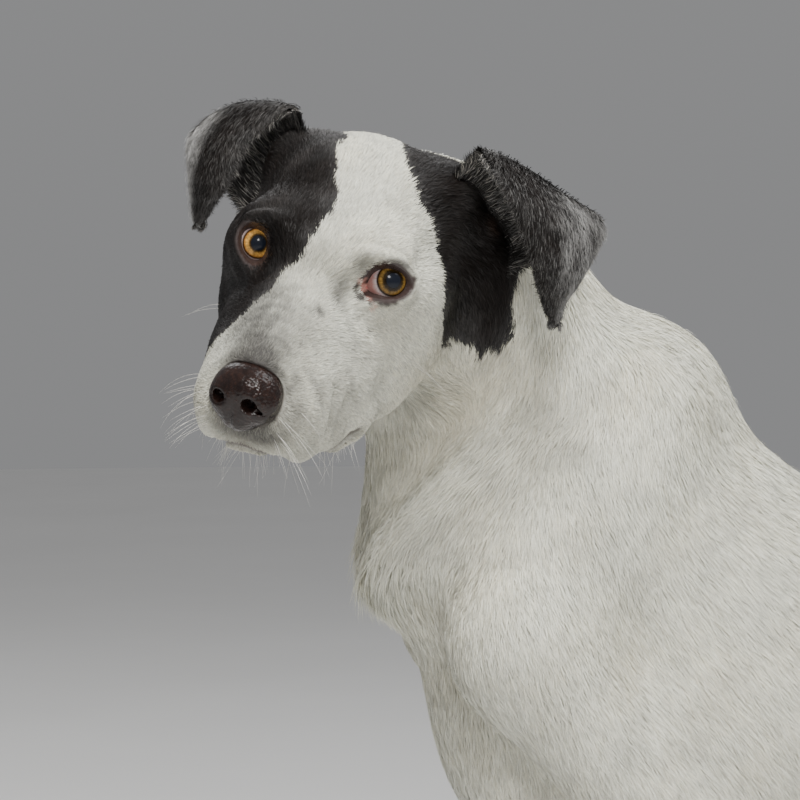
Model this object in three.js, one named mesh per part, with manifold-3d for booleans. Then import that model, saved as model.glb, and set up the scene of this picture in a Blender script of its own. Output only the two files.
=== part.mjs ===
// A smooth-coated, medium-sized dog sitting with its head turned to its left, life size, in millimetres.
// X runs towards the front of the body, Y towards its left and Z up, and the floor is at Z = 0.
// The flesh is one smooth field of eggs and tapered limbs, parted by thin plane cuts. Ears are curved sheets.
import * as THREE from "three";
import { SimplifyModifier } from "three/addons/modifiers/SimplifyModifier.js";
import { mergeVertices } from "three/addons/utils/BufferGeometryUtils.js";
import Module from "manifold-3d";

const wasm = await Module();
wasm.setup();

// ---------- Driving sizes ----------

const GAP = 0.4; // clear width of every cut between two pieces
const FLOOR_SINK = 3; // how far soles and rump are pressed flat at the floor
const SIDES = [1, -1]; // left and right
const HEAD_TURN = 63; // degrees, to the dog's left
const HEAD_DROP = 16; // degrees, muzzle down
const HEAD_TILT = -16.3; // degrees, left ear lower
const HEAD_ORIGIN = [204.3, 148.2, 544.2]; // between the pupils
const HEAD_BLEND = 18; // softness of the join between head and neck
const EYE_RADIUS = 11.2;
const EYE_CENTRE = [-10.4, 31.2, -4]; // forward, left and up of the head's origin
const PAW_TOES = [-19, -6.5, 6.5, 19]; // sideways places of the toes
const EAR_THICKNESS = 5;
const EAR_ROWS = 11; // facets from root to tip
const EAR_COLUMNS = 6; // facets from front edge to rear edge

const HUGE = 1600; // side of a cutting block, well beyond the whole dog
const KEPT_VERTICES = 0.185; // share left once flat stretches are thinned out
const CELLS = { nose: 3.2, head: 6.2, neck: 11, trunk: 14, leg: 9, paw: 5.4, tail: 9 };

// ---------- Fields: signed distances of simple bodies, joined smoothly ----------

const radians = THREE.MathUtils.degToRad;

// An egg-shaped body with three half-sizes, turned by Euler angles in degrees.
function egg(centre, half, blend, turn = [0, 0, 0]) {
  const back = new THREE.Matrix4()
    .makeRotationFromEuler(new THREE.Euler(...turn.map(radians), "ZYX"))
    .transpose().elements;
  const [cx, cy, cz] = centre;
  const [a, b, c] = half;
  const distance = (x, y, z) => {
    const [dx, dy, dz] = [x - cx, y - cy, z - cz];
    const px = back[0] * dx + back[4] * dy + back[8] * dz;
    const py = back[1] * dx + back[5] * dy + back[9] * dz;
    const pz = back[2] * dx + back[6] * dy + back[10] * dz;
    const k0 = Math.hypot(px / a, py / b, pz / c);
    const k1 = Math.hypot(px / (a * a), py / (b * b), pz / (c * c));
    return k1 < 1e-9 ? -Math.min(a, b, c) : (k0 * (k0 - 1)) / k1;
  };
  return { distance, blend };
}

// A tapered limb with round ends. A narrow limb is scaled across Y by its narrow value.
function limb(start, end, startRadius, endRadius, blend, narrow = 1) {
  const [ax, az] = [start[0], start[2]];
  const ay = start[1] / narrow;
  const [bx, by, bz] = [end[0] - ax, end[1] / narrow - ay, end[2] - az];
  const length2 = bx * bx + by * by + bz * bz;
  const taper = startRadius - endRadius;
  const a2 = length2 - taper * taper;
  const distance = (x, y, z) => {
    const [px, py, pz] = [x - ax, y / narrow - ay, z - az];
    const along = px * bx + py * by + pz * bz;
    const beyond = along - length2;
    const x2 =
      (px * length2 - bx * along) ** 2 +
      (py * length2 - by * along) ** 2 +
      (pz * length2 - bz * along) ** 2;
    const y2 = along * along * length2;
    const z2 = beyond * beyond * length2;
    const k = Math.sign(taper) * taper * taper * x2;
    let d;
    if (Math.sign(beyond) * a2 * z2 > k) d = Math.sqrt(x2 + z2) / length2 - endRadius;
    else if (Math.sign(along) * a2 * y2 < k) d = Math.sqrt(x2 + y2) / length2 - startRadius;
    else d = (Math.sqrt((x2 * a2) / length2) + along * taper) / length2 - startRadius;
    return d * narrow;
  };
  return { distance, blend };
}

// A body that is taken away instead of added.
const hollow = (body) => ({ ...body, carve: true });

function smoothUnion(a, b, blend) {
  const h = Math.max(blend - Math.abs(a - b), 0) / blend;
  return Math.min(a, b) - h * h * blend * 0.25;
}

function fieldOf(bodies) {
  return (x, y, z) => {
    let d = 1e3;
    for (const { distance, blend, carve } of bodies) {
      const other = distance(x, y, z);
      d = carve ? -smoothUnion(-d, other, blend) : smoothUnion(d, other, blend);
    }
    return d;
  };
}

// ---------- The head, in its own frame: forward, left and up of the point between the eyes ----------

const headFrame = new THREE.Matrix4()
  .makeRotationFromEuler(
    new THREE.Euler(radians(HEAD_TILT), radians(HEAD_DROP), radians(HEAD_TURN), "ZYX"),
  )
  .setPosition(...HEAD_ORIGIN);
const toHead = headFrame.clone().invert().elements;
const fromHead = (point) => new THREE.Vector3(...point).applyMatrix4(headFrame);

function skullBodies() {
  const middle = [
    egg([-66, 0, 1], [52, 49, 42], 12), // braincase
    egg([-26, 0, 6], [40, 36, 22], 14), // forehead
    egg([-102, 0, -10], [28, 34, 30], 12), // occiput
    limb([0, 0, -17], [64, 0, -33], 22, 14.5, 12), // bridge of the nose
    egg([-62, 0, -46], [56, 42, 34], 20), // throat under the skull
  ];
  const paired = SIDES.flatMap((s) => [
    egg([-78, 33 * s, 14], [24, 21, 20], 12), // muscle under the ear
    egg([-16, 26 * s, 9], [19, 15, 9], 10, [0, 0, 24 * s]), // brow
    egg([-31, 40 * s, -13], [34, 12, 14], 12, [0, 0, -16 * s]), // cheekbone
    egg([-52, 36 * s, -38], [38, 19, 37], 14), // masseter
    egg([-2, 20 * s, -36], [36, 16, 24], 16, [0, 0, -12 * s]), // below the eye
    limb([6, 18 * s, -49], [61, 11 * s, -49], 22, 16.5, 14), // flews
    egg([35, 20.5 * s, -62], [27, 10, 18], 8), // hanging edge of the upper lip
    egg([8, 28 * s, -64], [26, 9.5, 19], 8),
      egg([-2, 32.5 * s, -66], [20, 8.5, 14], 5), // corner of the lips
    limb([-34, 26 * s, -64], [57, 6.5 * s, -63.5], 20, 10.8, 8), // lower jaw
    ...eyelidBodies(s),
  ]);
  return [...middle, ...paired];
}

// The lids close round the eyeball, and the slit between them is carved out along the line of sight.
function eyelidBodies(s) {
  const [f, l, u] = [EYE_CENTRE[0], EYE_CENTRE[1] * s, EYE_CENTRE[2]];
  const aim = [10 * s, -14, 20 * s];
  return [
    egg([f + 1, l + 1.5 * s, u], [14, 15.5, 13], 6, aim),
    hollow(egg([f + 11, l + 0.8 * s, u + 2.5], [8, 10.4, 6.8], 2, aim)),
  ];
}

const headField = fieldOf(skullBodies());

// ---------- The body ----------

function trunkBodies() {
  return [
    limb([56, 0, 418], [-35, 0, 318], 96, 111, 10, 0.79), // ribcage
    limb([-35, 0, 318], [-106, 0, 225], 111, 82, 20, 0.79), // belly
    limb([-106, 0, 225], [-156, 0, 122], 81, 68, 20, 0.9), // loin
    egg([-168, 0, 82], [52, 72, 80], 30), // pelvis
    egg([108, 0, 392], [49, 46, 40], 30), // point of the breast
    egg([78, 0, 300], [44, 52, 74], 30, [0, 20, 0]), // breast
    egg([24, 0, 464], [54, 44, 44], 30, [0, 40, 0]), // withers
  ];
}

function neckBodies() {
  return [
    limb([78, 0, 452], [104, 18, 506], 78, 62, 30, 0.88),
    limb([104, 18, 506], [138, 54, 547], 60, 51, 24),
    egg([112, 10, 430], [34, 44, 46], 24), // throat skin over the breast
  ];
}

function forelegBodies(s) {
  const toes = PAW_TOES.map((across, i) => {
    const reach = i === 1 || i === 2 ? 10 : 0;
    const root = [52 + reach * 0.6, 69 * s + across * 0.8, 20];
    return limb(root, [76 + reach, 70 * s + across, 9], 11, 9.5, 3);
  });
  return [
    limb([28, 52 * s, 470], [88, 70 * s, 366], 34, 37, 30, 0.8), // shoulder blade
    egg([90, 66 * s, 358], [34, 30, 36], 22), // point of the shoulder
    limb([86, 72 * s, 350], [10, 76 * s, 254], 37, 30, 16, 0.85), // upper arm
    egg([-6, 72 * s, 300], [42, 22, 52], 20, [0, 30, 0]), // triceps
    egg([-14, 75 * s, 243], [17, 15, 20], 12), // elbow
    limb([8, 72 * s, 242], [22, 68 * s, 96], 27, 16.5, 14), // forearm
    egg([23, 68 * s, 90], [19, 17, 20], 8), // wrist
    limb([25, 68 * s, 84], [40, 69 * s, 30], 15.5, 17, 8), // pastern
    egg([47, 69 * s, 17], [31, 26, 17], 8), // ball of the paw
    ...toes,
  ];
}

function hindlegBodies(s) {
  const toes = PAW_TOES.map((across, i) => {
    const reach = i === 1 || i === 2 ? 9 : 0;
    const root = [-44 + reach * 0.6, 113 * s + across * 0.7, 19];
    return limb(root, [-20 + reach, 120 * s + across * 0.95, 9], 10.5, 9, 3);
  });
  return [
    egg([-112, 72 * s, 122], [96, 40, 80], 26, [0, -28, 12 * s]), // thigh
    egg([-168, 50 * s, 128], [52, 40, 78], 26, [0, -12, 0]), // buttock
    egg([-186, 40 * s, 44], [40, 36, 44], 22), // seat
    egg([-50, 100 * s, 158], [36, 27, 36], 22), // knee
    limb([-50, 100 * s, 150], [-146, 92 * s, 42], 29, 15, 12), // shank
    egg([-152, 90 * s, 28], [18, 15, 19], 8), // hock
    limb([-150, 90 * s, 18], [-62, 108 * s, 20], 15.5, 16, 8), // metatarsus, flat on the floor
    egg([-48, 112 * s, 17], [32, 25, 17], 8, [0, 0, 14 * s]), // ball of the paw
    ...toes,
  ];
}

const TAIL_LINE = [
  [-196, 0, 104],
  [-236, -2, 60],
  [-262, -8, 24],
  [-300, -24, 17],
  [-342, -56, 15],
  [-372, -102, 13],
  [-384, -150, 11],
].map((p) => new THREE.Vector3(...p));
const TAIL_RADII = [34, 26, 21, 17.5, 15.5, 13.5, 9];

function tailBodies() {
  return TAIL_LINE.slice(1).map((end, i) =>
    limb(TAIL_LINE[i].toArray(), end.toArray(), TAIL_RADII[i], TAIL_RADII[i + 1], i ? 6 : 18),
  );
}

const bodyField = fieldOf([
  ...trunkBodies(),
  ...neckBodies(),
  ...SIDES.flatMap(hindlegBodies),
  ...SIDES.flatMap(forelegBodies),
  ...tailBodies(),
]);


function dogField(x, y, z) {
  const m = toHead;
  const hx = m[0] * x + m[4] * y + m[8] * z + m[12];
  const hy = m[1] * x + m[5] * y + m[9] * z + m[13];
  const hz = m[2] * x + m[6] * y + m[10] * z + m[14];
  return smoothUnion(bodyField(x, y, z), headField(hx, hy, hz), HEAD_BLEND);
}

// ---------- From a field to a closed mesh ----------

const AXES = [0, 1, 2];

// Moves a vertex onto the field's surface by a few steps down its slope.
function settle(field, v, reach) {
  const step = 0.5;
  const start = [...v];
  for (let round = 0; round < 4; round++) {
    const d = field(...v);
    const slope = AXES.map((i) => {
      const w = [...v];
      w[i] += step;
      return (field(...w) - d) / step;
    });
    const steep = slope[0] ** 2 + slope[1] ** 2 + slope[2] ** 2;
    if (steep < 0.05 || Math.abs(d) > reach) return start;
    AXES.forEach((i) => (v[i] -= (d * slope[i]) / steep));
  }
  return Math.hypot(...AXES.map((i) => v[i] - start[i])) < reach ? v : start;
}

// A closed mesh of the field's zero level: one vertex in each grid cell that the surface crosses.
function surfaceOf(field, low, high, cell) {
  const size = AXES.map((i) => Math.ceil((high[i] - low[i]) / cell) + 1);
  const stride = [1, size[0], size[0] * size[1]];
  const value = new Float32Array(size[0] * size[1] * size[2]);
  const each = (top, visit) => {
    for (let k = 0; k < top[2]; k++)
      for (let j = 0; j < top[1]; j++) for (let i = 0; i < top[0]; i++) visit([i, j, k]);
  };
  const placeOf = (g) => AXES.map((i) => low[i] + g[i] * cell);
  const indexOf = (g) => g[0] + g[1] * stride[1] + g[2] * stride[2];
  each(size, (g) => {
    const rim = AXES.some((i) => g[i] === 0 || g[i] === size[i] - 1);
    value[indexOf(g)] = rim ? cell : field(...placeOf(g));
  });

  const corners = [];
  for (let n = 0; n < 8; n++) corners.push([n & 1, (n >> 1) & 1, (n >> 2) & 1]);
  const edges = corners.flatMap((a, n) =>
    AXES.filter((i) => !a[i]).map((i) => [n, n + (1 << i)]),
  );
  const cellVertex = new Int32Array(value.length).fill(-1);
  const points = [];
  each(size.map((n) => n - 1), (g) => {
    const at = corners.map((c) => value[indexOf(g) + c[0] + c[1] * stride[1] + c[2] * stride[2]]);
    const crossed = edges.filter(([a, b]) => at[a] < 0 !== at[b] < 0);
    if (!crossed.length) return;
    const sum = [0, 0, 0];
    for (const [a, b] of crossed) {
      const t = at[a] / (at[a] - at[b]);
      AXES.forEach((i) => (sum[i] += corners[a][i] + t * (corners[b][i] - corners[a][i])));
    }
    const v = placeOf(g).map((p, i) => p + (sum[i] / crossed.length) * cell);
    cellVertex[indexOf(g)] = points.length;
    points.push(settle(field, v, cell));
  });

  const triangles = [];
  const gap2 = (a, b) => AXES.reduce((s, i) => s + (points[a][i] - points[b][i]) ** 2, 0);
  each(size.map((n) => n - 1), (g) => {
    for (const axis of AXES) {
      const [u, v] = [(axis + 1) % 3, (axis + 2) % 3];
      if (!g[u] || !g[v]) continue;
      const here = indexOf(g);
      const inside = value[here] < 0;
      if (inside === value[here + stride[axis]] < 0) continue;
      const ring = [0, stride[u], stride[u] + stride[v], stride[v]].map(
        (back) => cellVertex[here - back],
      );
      if (!inside) ring.reverse();
      const [a, b, c, d] = ring;
      if (gap2(a, c) < gap2(b, d)) triangles.push(a, b, c, a, c, d);
      else triangles.push(b, c, d, b, d, a);
    }
  });
  const geometry = new THREE.BufferGeometry();
  geometry.setAttribute("position", new THREE.Float32BufferAttribute(points.flat(), 3));
  geometry.setIndex(triangles);
  return geometry;
}

// ---------- Solids: cutting with manifold-3d ----------

function solidOf(geometry, place = new THREE.Matrix4()) {
  const bare = geometry.clone().applyMatrix4(place);
  bare.deleteAttribute("normal");
  bare.deleteAttribute("uv");
  const merged = mergeVertices(bare, 1e-4);
  return new wasm.Manifold(
    new wasm.Mesh({
      numProp: 3,
      vertProperties: new Float32Array(merged.attributes.position.array),
      triVerts: new Uint32Array(merged.index.array),
    }),
  );
}

function geometryOf(solid) {
  const { vertProperties, triVerts } = solid.getMesh();
  const geometry = new THREE.BufferGeometry();
  geometry.setAttribute("position", new THREE.BufferAttribute(vertProperties, 3));
  geometry.setIndex(new THREE.BufferAttribute(triVerts, 1));
  return geometry;
}

// The half of space in front of a plane, as a huge block whose near face lies on it.
function beyond(point, normal, gap = 0) {
  const away = new THREE.Vector3(...normal).normalize();
  const centre = new THREE.Vector3(...point).addScaledVector(away, HUGE / 2 + gap);
  const turn = new THREE.Quaternion().setFromUnitVectors(new THREE.Vector3(0, 0, 1), away);
  const place = new THREE.Matrix4().compose(centre, turn, new THREE.Vector3(1, 1, 1));
  return solidOf(new THREE.BoxGeometry(HUGE, HUGE, HUGE), place);
}

// The largest connected body of a solid.
function largest(solid) {
  const bodies = solid.decompose();
  return bodies.reduce((best, body) => (body.volume() > best.volume() ? body : best));
}

const floor = beyond([0, 0, FLOOR_SINK], [0, 0, -1]);

// Each piece is kept on the near side of its planes, which are [point, normal] with the normal away from it.
const headPlane = [[133, 40, 540], [0.42, 0.56, 0.72]];
const neckPlane = [[88, 0, 458], [0.63, 0.05, 0.776]];
const back = (plane) => [plane[0], plane[1].map((v) => -v)];

const legPlanes = (s) => {
  const between = [[-11, 86 * s, 0], [0.855, -0.52 * s, 0]]; // between foreleg and hind leg
  const inner = [[0, 44 * s, 0], [0, -s, 0]];
  const elbow = [[0, 0, 222], [-0.15, 0, 1]];
  const wrist = [[0, 0, 62], [0, 0, 1]];
  const flank = [[-100, 0, 208], [0.1, 0.35 * s, 1]];
  const rear = [[-176, 0, 0], [-1, 0, 0]];
  const sole = [[0, 0, 46], [0, 0, 1]];
  const outer = [[0, 68 * s, 0], [0, -s, 0]];
  return {
    foreleg: [elbow, back(between), inner, back(wrist)],
    forepaw: [wrist, back(between), inner],
    hindleg: [flank, between, inner],
    hindfoot: [sole, between, outer, rear],
  };
};
const tailPlane = [[-238, 0, 0], [1, 0, 0]];

function region(planes, gap = 0) {
  const all = solidOf(new THREE.BoxGeometry(HUGE, HUGE, HUGE));
  return planes.reduce((kept, [point, normal]) => kept.subtract(beyond(point, normal, gap)), all);
}

// Meshes a field finely, then thins the mesh out where it is nearly flat.
async function thinnedSurface(field, low, high, cell, kept) {
  const fine = surfaceOf(field, low, high, cell);
  const spare = Math.round(fine.attributes.position.count * (1 - kept));
  return new SimplifyModifier().modify(fine, spare);
}

async function fleshBetween(low, high, cell, kept = KEPT_VERTICES) {
  return solidOf(await thinnedSurface(dogField, low, high, cell, kept)).subtract(floor);
}

// ---------- Ears: curved sheets that stand out from the skull and fold over ----------

// Stations from the root of an ear to its tip, each with its front edge, its rear edge and the bulge between.
// They are forward of, outward of and above the head's origin. The right ear is carried closer to the skull.
const EAR_STATIONS = {
  left: [
    [[-78, 44, 34], [-88, 50, -34], [-8, 4, 4]],
    [[-78, 47, 42], [-97, 70, -14], [-14, 4, 2]],
    [[-77, 51, 46], [-96, 98, 14], [-10, 0, 2]],
    [[-66, 59, 44], [-85, 108, 29], [-2, 0, 0]],
    [[-58, 74, 31], [-85, 113, 17], [5, 3, 2]],
    [[-60, 87, 8], [-81, 112, -6], [6, 5, 0]],
    [[-66, 96, -12], [-76, 108, -18], [3, 3, 0]],
    [[-71, 102, -25], [-73, 105, -26], [0, 0, 0]],
  ],
  right: [
    [[-74, 38, 32], [-88, 50, -32], [-8, 4, 4]],
    [[-78, 42, 37], [-96, 66, -18], [-14, 4, 4]],
    [[-82, 46, 39], [-97, 82, -2], [-11, 2, 5]],
    [[-77, 54, 37], [-86, 89, 16], [-3, 3, 5]],
    [[-67, 64, 20], [-84, 93, 6], [3, 3, 3]],
    [[-62, 67, 2], [-80, 88, -7], [4, 4, 0]],
    [[-66, 73, -13], [-75, 83, -17], [2, 2, 0]],
    [[-71, 77, -25], [-72, 80, -25], [0, 0, 0]],
  ],
};

// Curves through the stations, mirrored for the right side.
function earCurves(side) {
  const turn = side === "left" ? 1 : -1;
  const [front, rear, bulge] = AXES.map(
    (column) =>
      new THREE.CatmullRomCurve3(
        EAR_STATIONS[side].map((station) => {
          const [f, l, u] = station[column];
          return new THREE.Vector3(f, l * turn, u);
        }),
      ),
  );
  return { front, rear, bulge, turn };
}

function earPoint({ front, rear, bulge }, along, across) {
  const point = front.getPoint(along).lerp(rear.getPoint(along), across);
  return point.addScaledVector(bulge.getPoint(along), 4 * across * (1 - across));
}

function earNormal(curves, along, across) {
  const d = 0.02;
  const down = earPoint(curves, Math.min(along + d, 1), across).sub(
    earPoint(curves, Math.max(along - d, 0), across),
  );
  const side = earPoint(curves, along, across + d).sub(earPoint(curves, along, across - d));
  return side.cross(down).normalize();
}

// A closed sheet: an outer and an inner face joined round the rim.
function earGeometry(side) {
  const curves = earCurves(side);
  const points = [];
  for (const face of [1, -1])
    for (let row = 0; row <= EAR_ROWS; row++)
      for (let column = 0; column <= EAR_COLUMNS; column++) {
        const [along, across] = [row / EAR_ROWS, column / EAR_COLUMNS];
        const thin = 1 - 0.6 * Math.abs(2 * across - 1) ** 3 * (along > 0 ? 1 : 0);
        const offset = (face * curves.turn * EAR_THICKNESS * thin) / 2;
        points.push(
          earPoint(curves, along, across).addScaledVector(earNormal(curves, along, across), offset),
        );
      }
  const indexOf = (face, row, column) =>
    (face * (EAR_ROWS + 1) + row) * (EAR_COLUMNS + 1) + column;
  const triangles = [];
  const quad = (a, b, c, d) => {
    if (curves.turn > 0) triangles.push(a, b, c, a, c, d);
    else triangles.push(c, b, a, d, c, a);
  };
  for (let row = 0; row < EAR_ROWS; row++)
    for (let column = 0; column < EAR_COLUMNS; column++) {
      const [r, c] = [row + 1, column + 1];
      const outer = [[row, column], [row, c], [r, c], [r, column]];
      quad(...outer.map(([i, j]) => indexOf(0, i, j)));
      quad(...outer.reverse().map(([i, j]) => indexOf(1, i, j)));
    }
  const rim = [];
  for (let column = 0; column < EAR_COLUMNS; column++) rim.push([0, column]);
  for (let row = 0; row < EAR_ROWS; row++) rim.push([row, EAR_COLUMNS]);
  for (let column = EAR_COLUMNS; column > 0; column--) rim.push([EAR_ROWS, column]);
  for (let row = EAR_ROWS; row > 0; row--) rim.push([row, 0]);
  rim.forEach((here, n) => {
    const next = rim[(n + 1) % rim.length];
    quad(indexOf(0, ...next), indexOf(0, ...here), indexOf(1, ...here), indexOf(1, ...next));
  });
  const geometry = new THREE.BufferGeometry();
  const numbers = points.flatMap((p) => p.toArray());
  geometry.setAttribute("position", new THREE.Float32BufferAttribute(numbers, 3));
  geometry.setIndex(triangles);
  return geometry;
}

// ---------- Nose ----------

const noseField = fieldOf([
  egg([74.5, 0, -37.8], [12, 15.5, 12], 5), // leather
  ...SIDES.map((s) => egg([78.5, 7.8 * s, -42.3], [7, 7.5, 7.5], 5)), // wings of the nostrils
  ...SIDES.map((s) => hollow(egg([86, 7.8 * s, -40], [6, 3.4, 3.2], 2))),
]);

// ---------- Assembly ----------

const white = { color: 0xdcd9cf, roughness: 0.85, metalness: 0 };
const black = { color: 0x1d1a19, roughness: 0.7, metalness: 0 };
const leather = { color: 0x3a2a28, roughness: 0.4, metalness: 0 };
const amber = { color: 0x9a6a25, roughness: 0.12, metalness: 0 };

const dog = new THREE.Group();

function addNode(name, solid, finish) {
  const mesh = new THREE.Mesh(geometryOf(largest(solid)), new THREE.MeshStandardMaterial(finish));
  mesh.name = name;
  dog.add(mesh);
}

function boxAbout(centre, half) {
  return [centre.map((v, i) => v - half[i]), centre.map((v, i) => v + half[i])];
}

const [headLow, headHigh] = boxAbout(fromHead([-20, 0, -20]).toArray(), [170, 170, 160]);
const noseGrownBy = async (grow) => {
  const field = (x, y, z) => noseField(x, y, z) - grow;
  const surface = await thinnedSurface(field, [50, -34, -68], [102, 34, -14], CELLS.nose, 0.45);
  return solidOf(surface, headFrame);
};
const nose = await noseGrownBy(0);
const eyeBall = (s, grow) => {
  const centre = fromHead([EYE_CENTRE[0], EYE_CENTRE[1] * s, EYE_CENTRE[2]]);
  const ball = new THREE.SphereGeometry(EYE_RADIUS + grow, 16, 10);
  return solidOf(ball, new THREE.Matrix4().makeTranslation(...centre.toArray()));
};

// The mouth: everything below this plane, ahead of the corners of the lips, is the lower jaw.
const inHead = (point, normal) => [
  fromHead(point).toArray(),
  new THREE.Vector3(...normal).transformDirection(headFrame).toArray(),
];
const lipPlane = inHead([50, 0, -72], [0.1, 0, 1]);
const mouthCorner = inHead([8, 0, -74], [-1, 0, 0.25]);
const jawPlanes = [lipPlane, mouthCorner];

const headFlesh = (await fleshBetween(headLow, headHigh, CELLS.head))
  .intersect(region([back(headPlane)]))
  .subtract(eyeBall(1, GAP))
  .subtract(eyeBall(-1, GAP))
  .subtract(await noseGrownBy(2 * GAP));
addNode("head", headFlesh.subtract(region(jawPlanes, GAP)), white);
addNode("lower_jaw", headFlesh.intersect(region(jawPlanes)), white);
addNode("nose", nose, leather);

const grownDog = (x, y, z) => dogField(x, y, z) - GAP - 1;
const skullRoom = solidOf(surfaceOf(grownDog, headLow, headHigh, CELLS.head));
for (const s of SIDES) {
  const side = s > 0 ? "left" : "right";
  addNode("eye_" + side, eyeBall(s, 0), amber);
  const ear = solidOf(earGeometry(side), headFrame);
  addNode("ear_" + side, ear.subtract(skullRoom), black);
}

const neckFlesh = await fleshBetween([-60, -130, 360], [260, 160, 680], CELLS.neck);
addNode("neck", neckFlesh.intersect(region([headPlane, back(neckPlane)], -GAP)), white);

let trunk = await fleshBetween([-300, -160, -30], [240, 160, 580], CELLS.trunk);
trunk = trunk.intersect(region([neckPlane], -GAP));
for (const s of SIDES) {
  const side = s > 0 ? "left" : "right";
  const planes = legPlanes(s);
  const [lowY, highY] = s > 0 ? [20, 170] : [-170, -20];
  const fore = await fleshBetween([-60, lowY, 40], [90, highY, 270], CELLS.leg);
  addNode("foreleg_" + side, fore.intersect(region(planes.foreleg, -GAP)), white);
  const forepaw = await fleshBetween([-40, lowY, -20], [120, highY, 84], CELLS.paw);
  addNode("forepaw_" + side, forepaw.intersect(region(planes.forepaw)), white);
  const hind = await fleshBetween([-280, lowY, -30], [60, highY, 280], CELLS.trunk * 0.8);
  const thigh = hind
    .intersect(region(planes.hindleg, -GAP))
    .subtract(region(planes.hindfoot, GAP));
  addNode("hindleg_" + side, thigh, white);
  const hindfoot = await fleshBetween([-190, lowY, -20], [30, highY, 70], CELLS.paw);
  addNode("hindfoot_" + side, hindfoot.intersect(region(planes.hindfoot)), white);
  for (const part of Object.values(planes)) trunk = trunk.subtract(region(part));
}
addNode("trunk", trunk.subtract(region([tailPlane])), white);

const tail = await fleshBetween([-420, -190, -20], [-200, 60, 120], CELLS.tail);
addNode("tail", tail.intersect(region([tailPlane], -GAP)), white);

// The origin is on the floor, below the middle of the whole dog.
dog.updateMatrixWorld(true);
const extent = new THREE.Box3().setFromObject(dog, true);
const middle = extent.getCenter(new THREE.Vector3());
dog.position.set(-middle.x, -middle.y, -extent.min.z);

export default dog;
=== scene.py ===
import math

import bpy
import numpy as np
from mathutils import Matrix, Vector
from mathutils.bvhtree import BVHTree


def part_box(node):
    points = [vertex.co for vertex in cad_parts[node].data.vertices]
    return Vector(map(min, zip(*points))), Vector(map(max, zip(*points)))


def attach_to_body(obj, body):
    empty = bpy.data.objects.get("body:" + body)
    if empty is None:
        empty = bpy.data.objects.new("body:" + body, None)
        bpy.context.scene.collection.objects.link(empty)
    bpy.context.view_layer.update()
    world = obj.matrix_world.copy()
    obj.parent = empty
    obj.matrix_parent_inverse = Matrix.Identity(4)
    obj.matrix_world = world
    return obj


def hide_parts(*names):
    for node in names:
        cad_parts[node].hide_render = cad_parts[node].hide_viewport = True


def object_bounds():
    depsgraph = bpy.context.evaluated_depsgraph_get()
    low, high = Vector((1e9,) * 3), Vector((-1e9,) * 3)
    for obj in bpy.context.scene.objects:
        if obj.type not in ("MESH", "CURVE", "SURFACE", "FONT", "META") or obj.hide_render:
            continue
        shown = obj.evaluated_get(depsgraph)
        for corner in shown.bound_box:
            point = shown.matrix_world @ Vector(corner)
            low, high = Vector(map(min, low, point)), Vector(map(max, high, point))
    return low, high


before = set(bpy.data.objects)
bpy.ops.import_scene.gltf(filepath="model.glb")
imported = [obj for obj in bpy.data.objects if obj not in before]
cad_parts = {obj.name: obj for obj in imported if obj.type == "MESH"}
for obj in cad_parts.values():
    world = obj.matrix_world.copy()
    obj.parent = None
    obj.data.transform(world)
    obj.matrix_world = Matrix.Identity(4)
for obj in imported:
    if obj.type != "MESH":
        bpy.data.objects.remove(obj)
cad_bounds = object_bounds()

# The looks of a smooth-coated black and white dog that sits with its head turned to its left.
# Lengths are in millimetres in the dog's own frame, and placed() turns them into the row frame in metres.

# ---------- Driving sizes ----------

SIDES = (1, -1)  # left and right
HEAD_TURN = 63  # degrees, to the dog's left
HEAD_DROP = 16  # degrees, muzzle down
HEAD_TILT = -16.3  # degrees, left ear lower
HEAD_ORIGIN = np.array([204.3, 148.2, 544.2])  # between the pupils
HEAD_BLEND = 18
EYE_RADIUS = 11.2
HEAD_MIDDLE = np.array([-20, 0, -20])
EYE_CENTRE = np.array([-10.4, 31.2, -4])
PAW_TOES = (-19, -6.5, 6.5, 19)
FLOOR = 3.0
SEED = 20

# ---------- Small helpers ----------


def size(v):
    """The length of each row."""
    return np.sqrt((v**2).sum(1))


def unit(v):
    return v / (size(v) + 1e-9)[:, None]


def along_skin(v, normals):
    """The rows of v less what stands square to the skin."""
    return v - normals * (v * normals).sum(1)[:, None]


def smoothstep(low, high, x):
    t = np.clip((x - low) / (high - low), 0, 1)
    return t * t * (3 - 2 * t)


def bell(x, width):
    """1 where x is zero, fading to nothing over a few widths."""
    return np.exp(-((x / width) ** 2))


def blot(p, centre, reach):
    """1 at the centre, fading to nothing all round it."""
    return np.exp(-(((p - centre) ** 2).sum(1)) / reach**2)


def oval(p, centre, halves):
    """As blot, with a reach of its own along each axis."""
    return np.exp(-(((p - centre) / halves) ** 2).sum(1))


def between(a, b, share):
    """From a, where the share is 0, to b, where it is 1."""
    return a * (1 - share) + b * share


def columns_of(*parts):
    return np.stack(parts, 1)


def lattice(low, high, cell):
    """The places of a grid that fills a box, and the grid's shape."""
    shape = np.ceil((high - low) / cell).astype(int) + 1
    axes = [low[i] + cell * np.arange(shape[i]) for i in range(3)]
    return np.stack(np.meshgrid(*axes, indexing="ij"), -1).reshape(-1, 3), shape


def shell_triangles(rows, segments):
    """The faces of a closed shell: a pole, rows of points round it, and the other pole."""
    triangles = []
    base = 1 + (rows - 1) * segments
    for j in range(segments):
        k = (j + 1) % segments
        triangles.append((0, 1 + j, 1 + k))
        for i in range(rows - 1):
            a, b = 1 + i * segments + j, 1 + i * segments + k
            triangles += [(a, a + segments, b + segments), (a, b + segments, b)]
        triangles.append((base + j, base + segments, base + k))
    return np.array(triangles)


# ---------- Fields ----------


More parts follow.
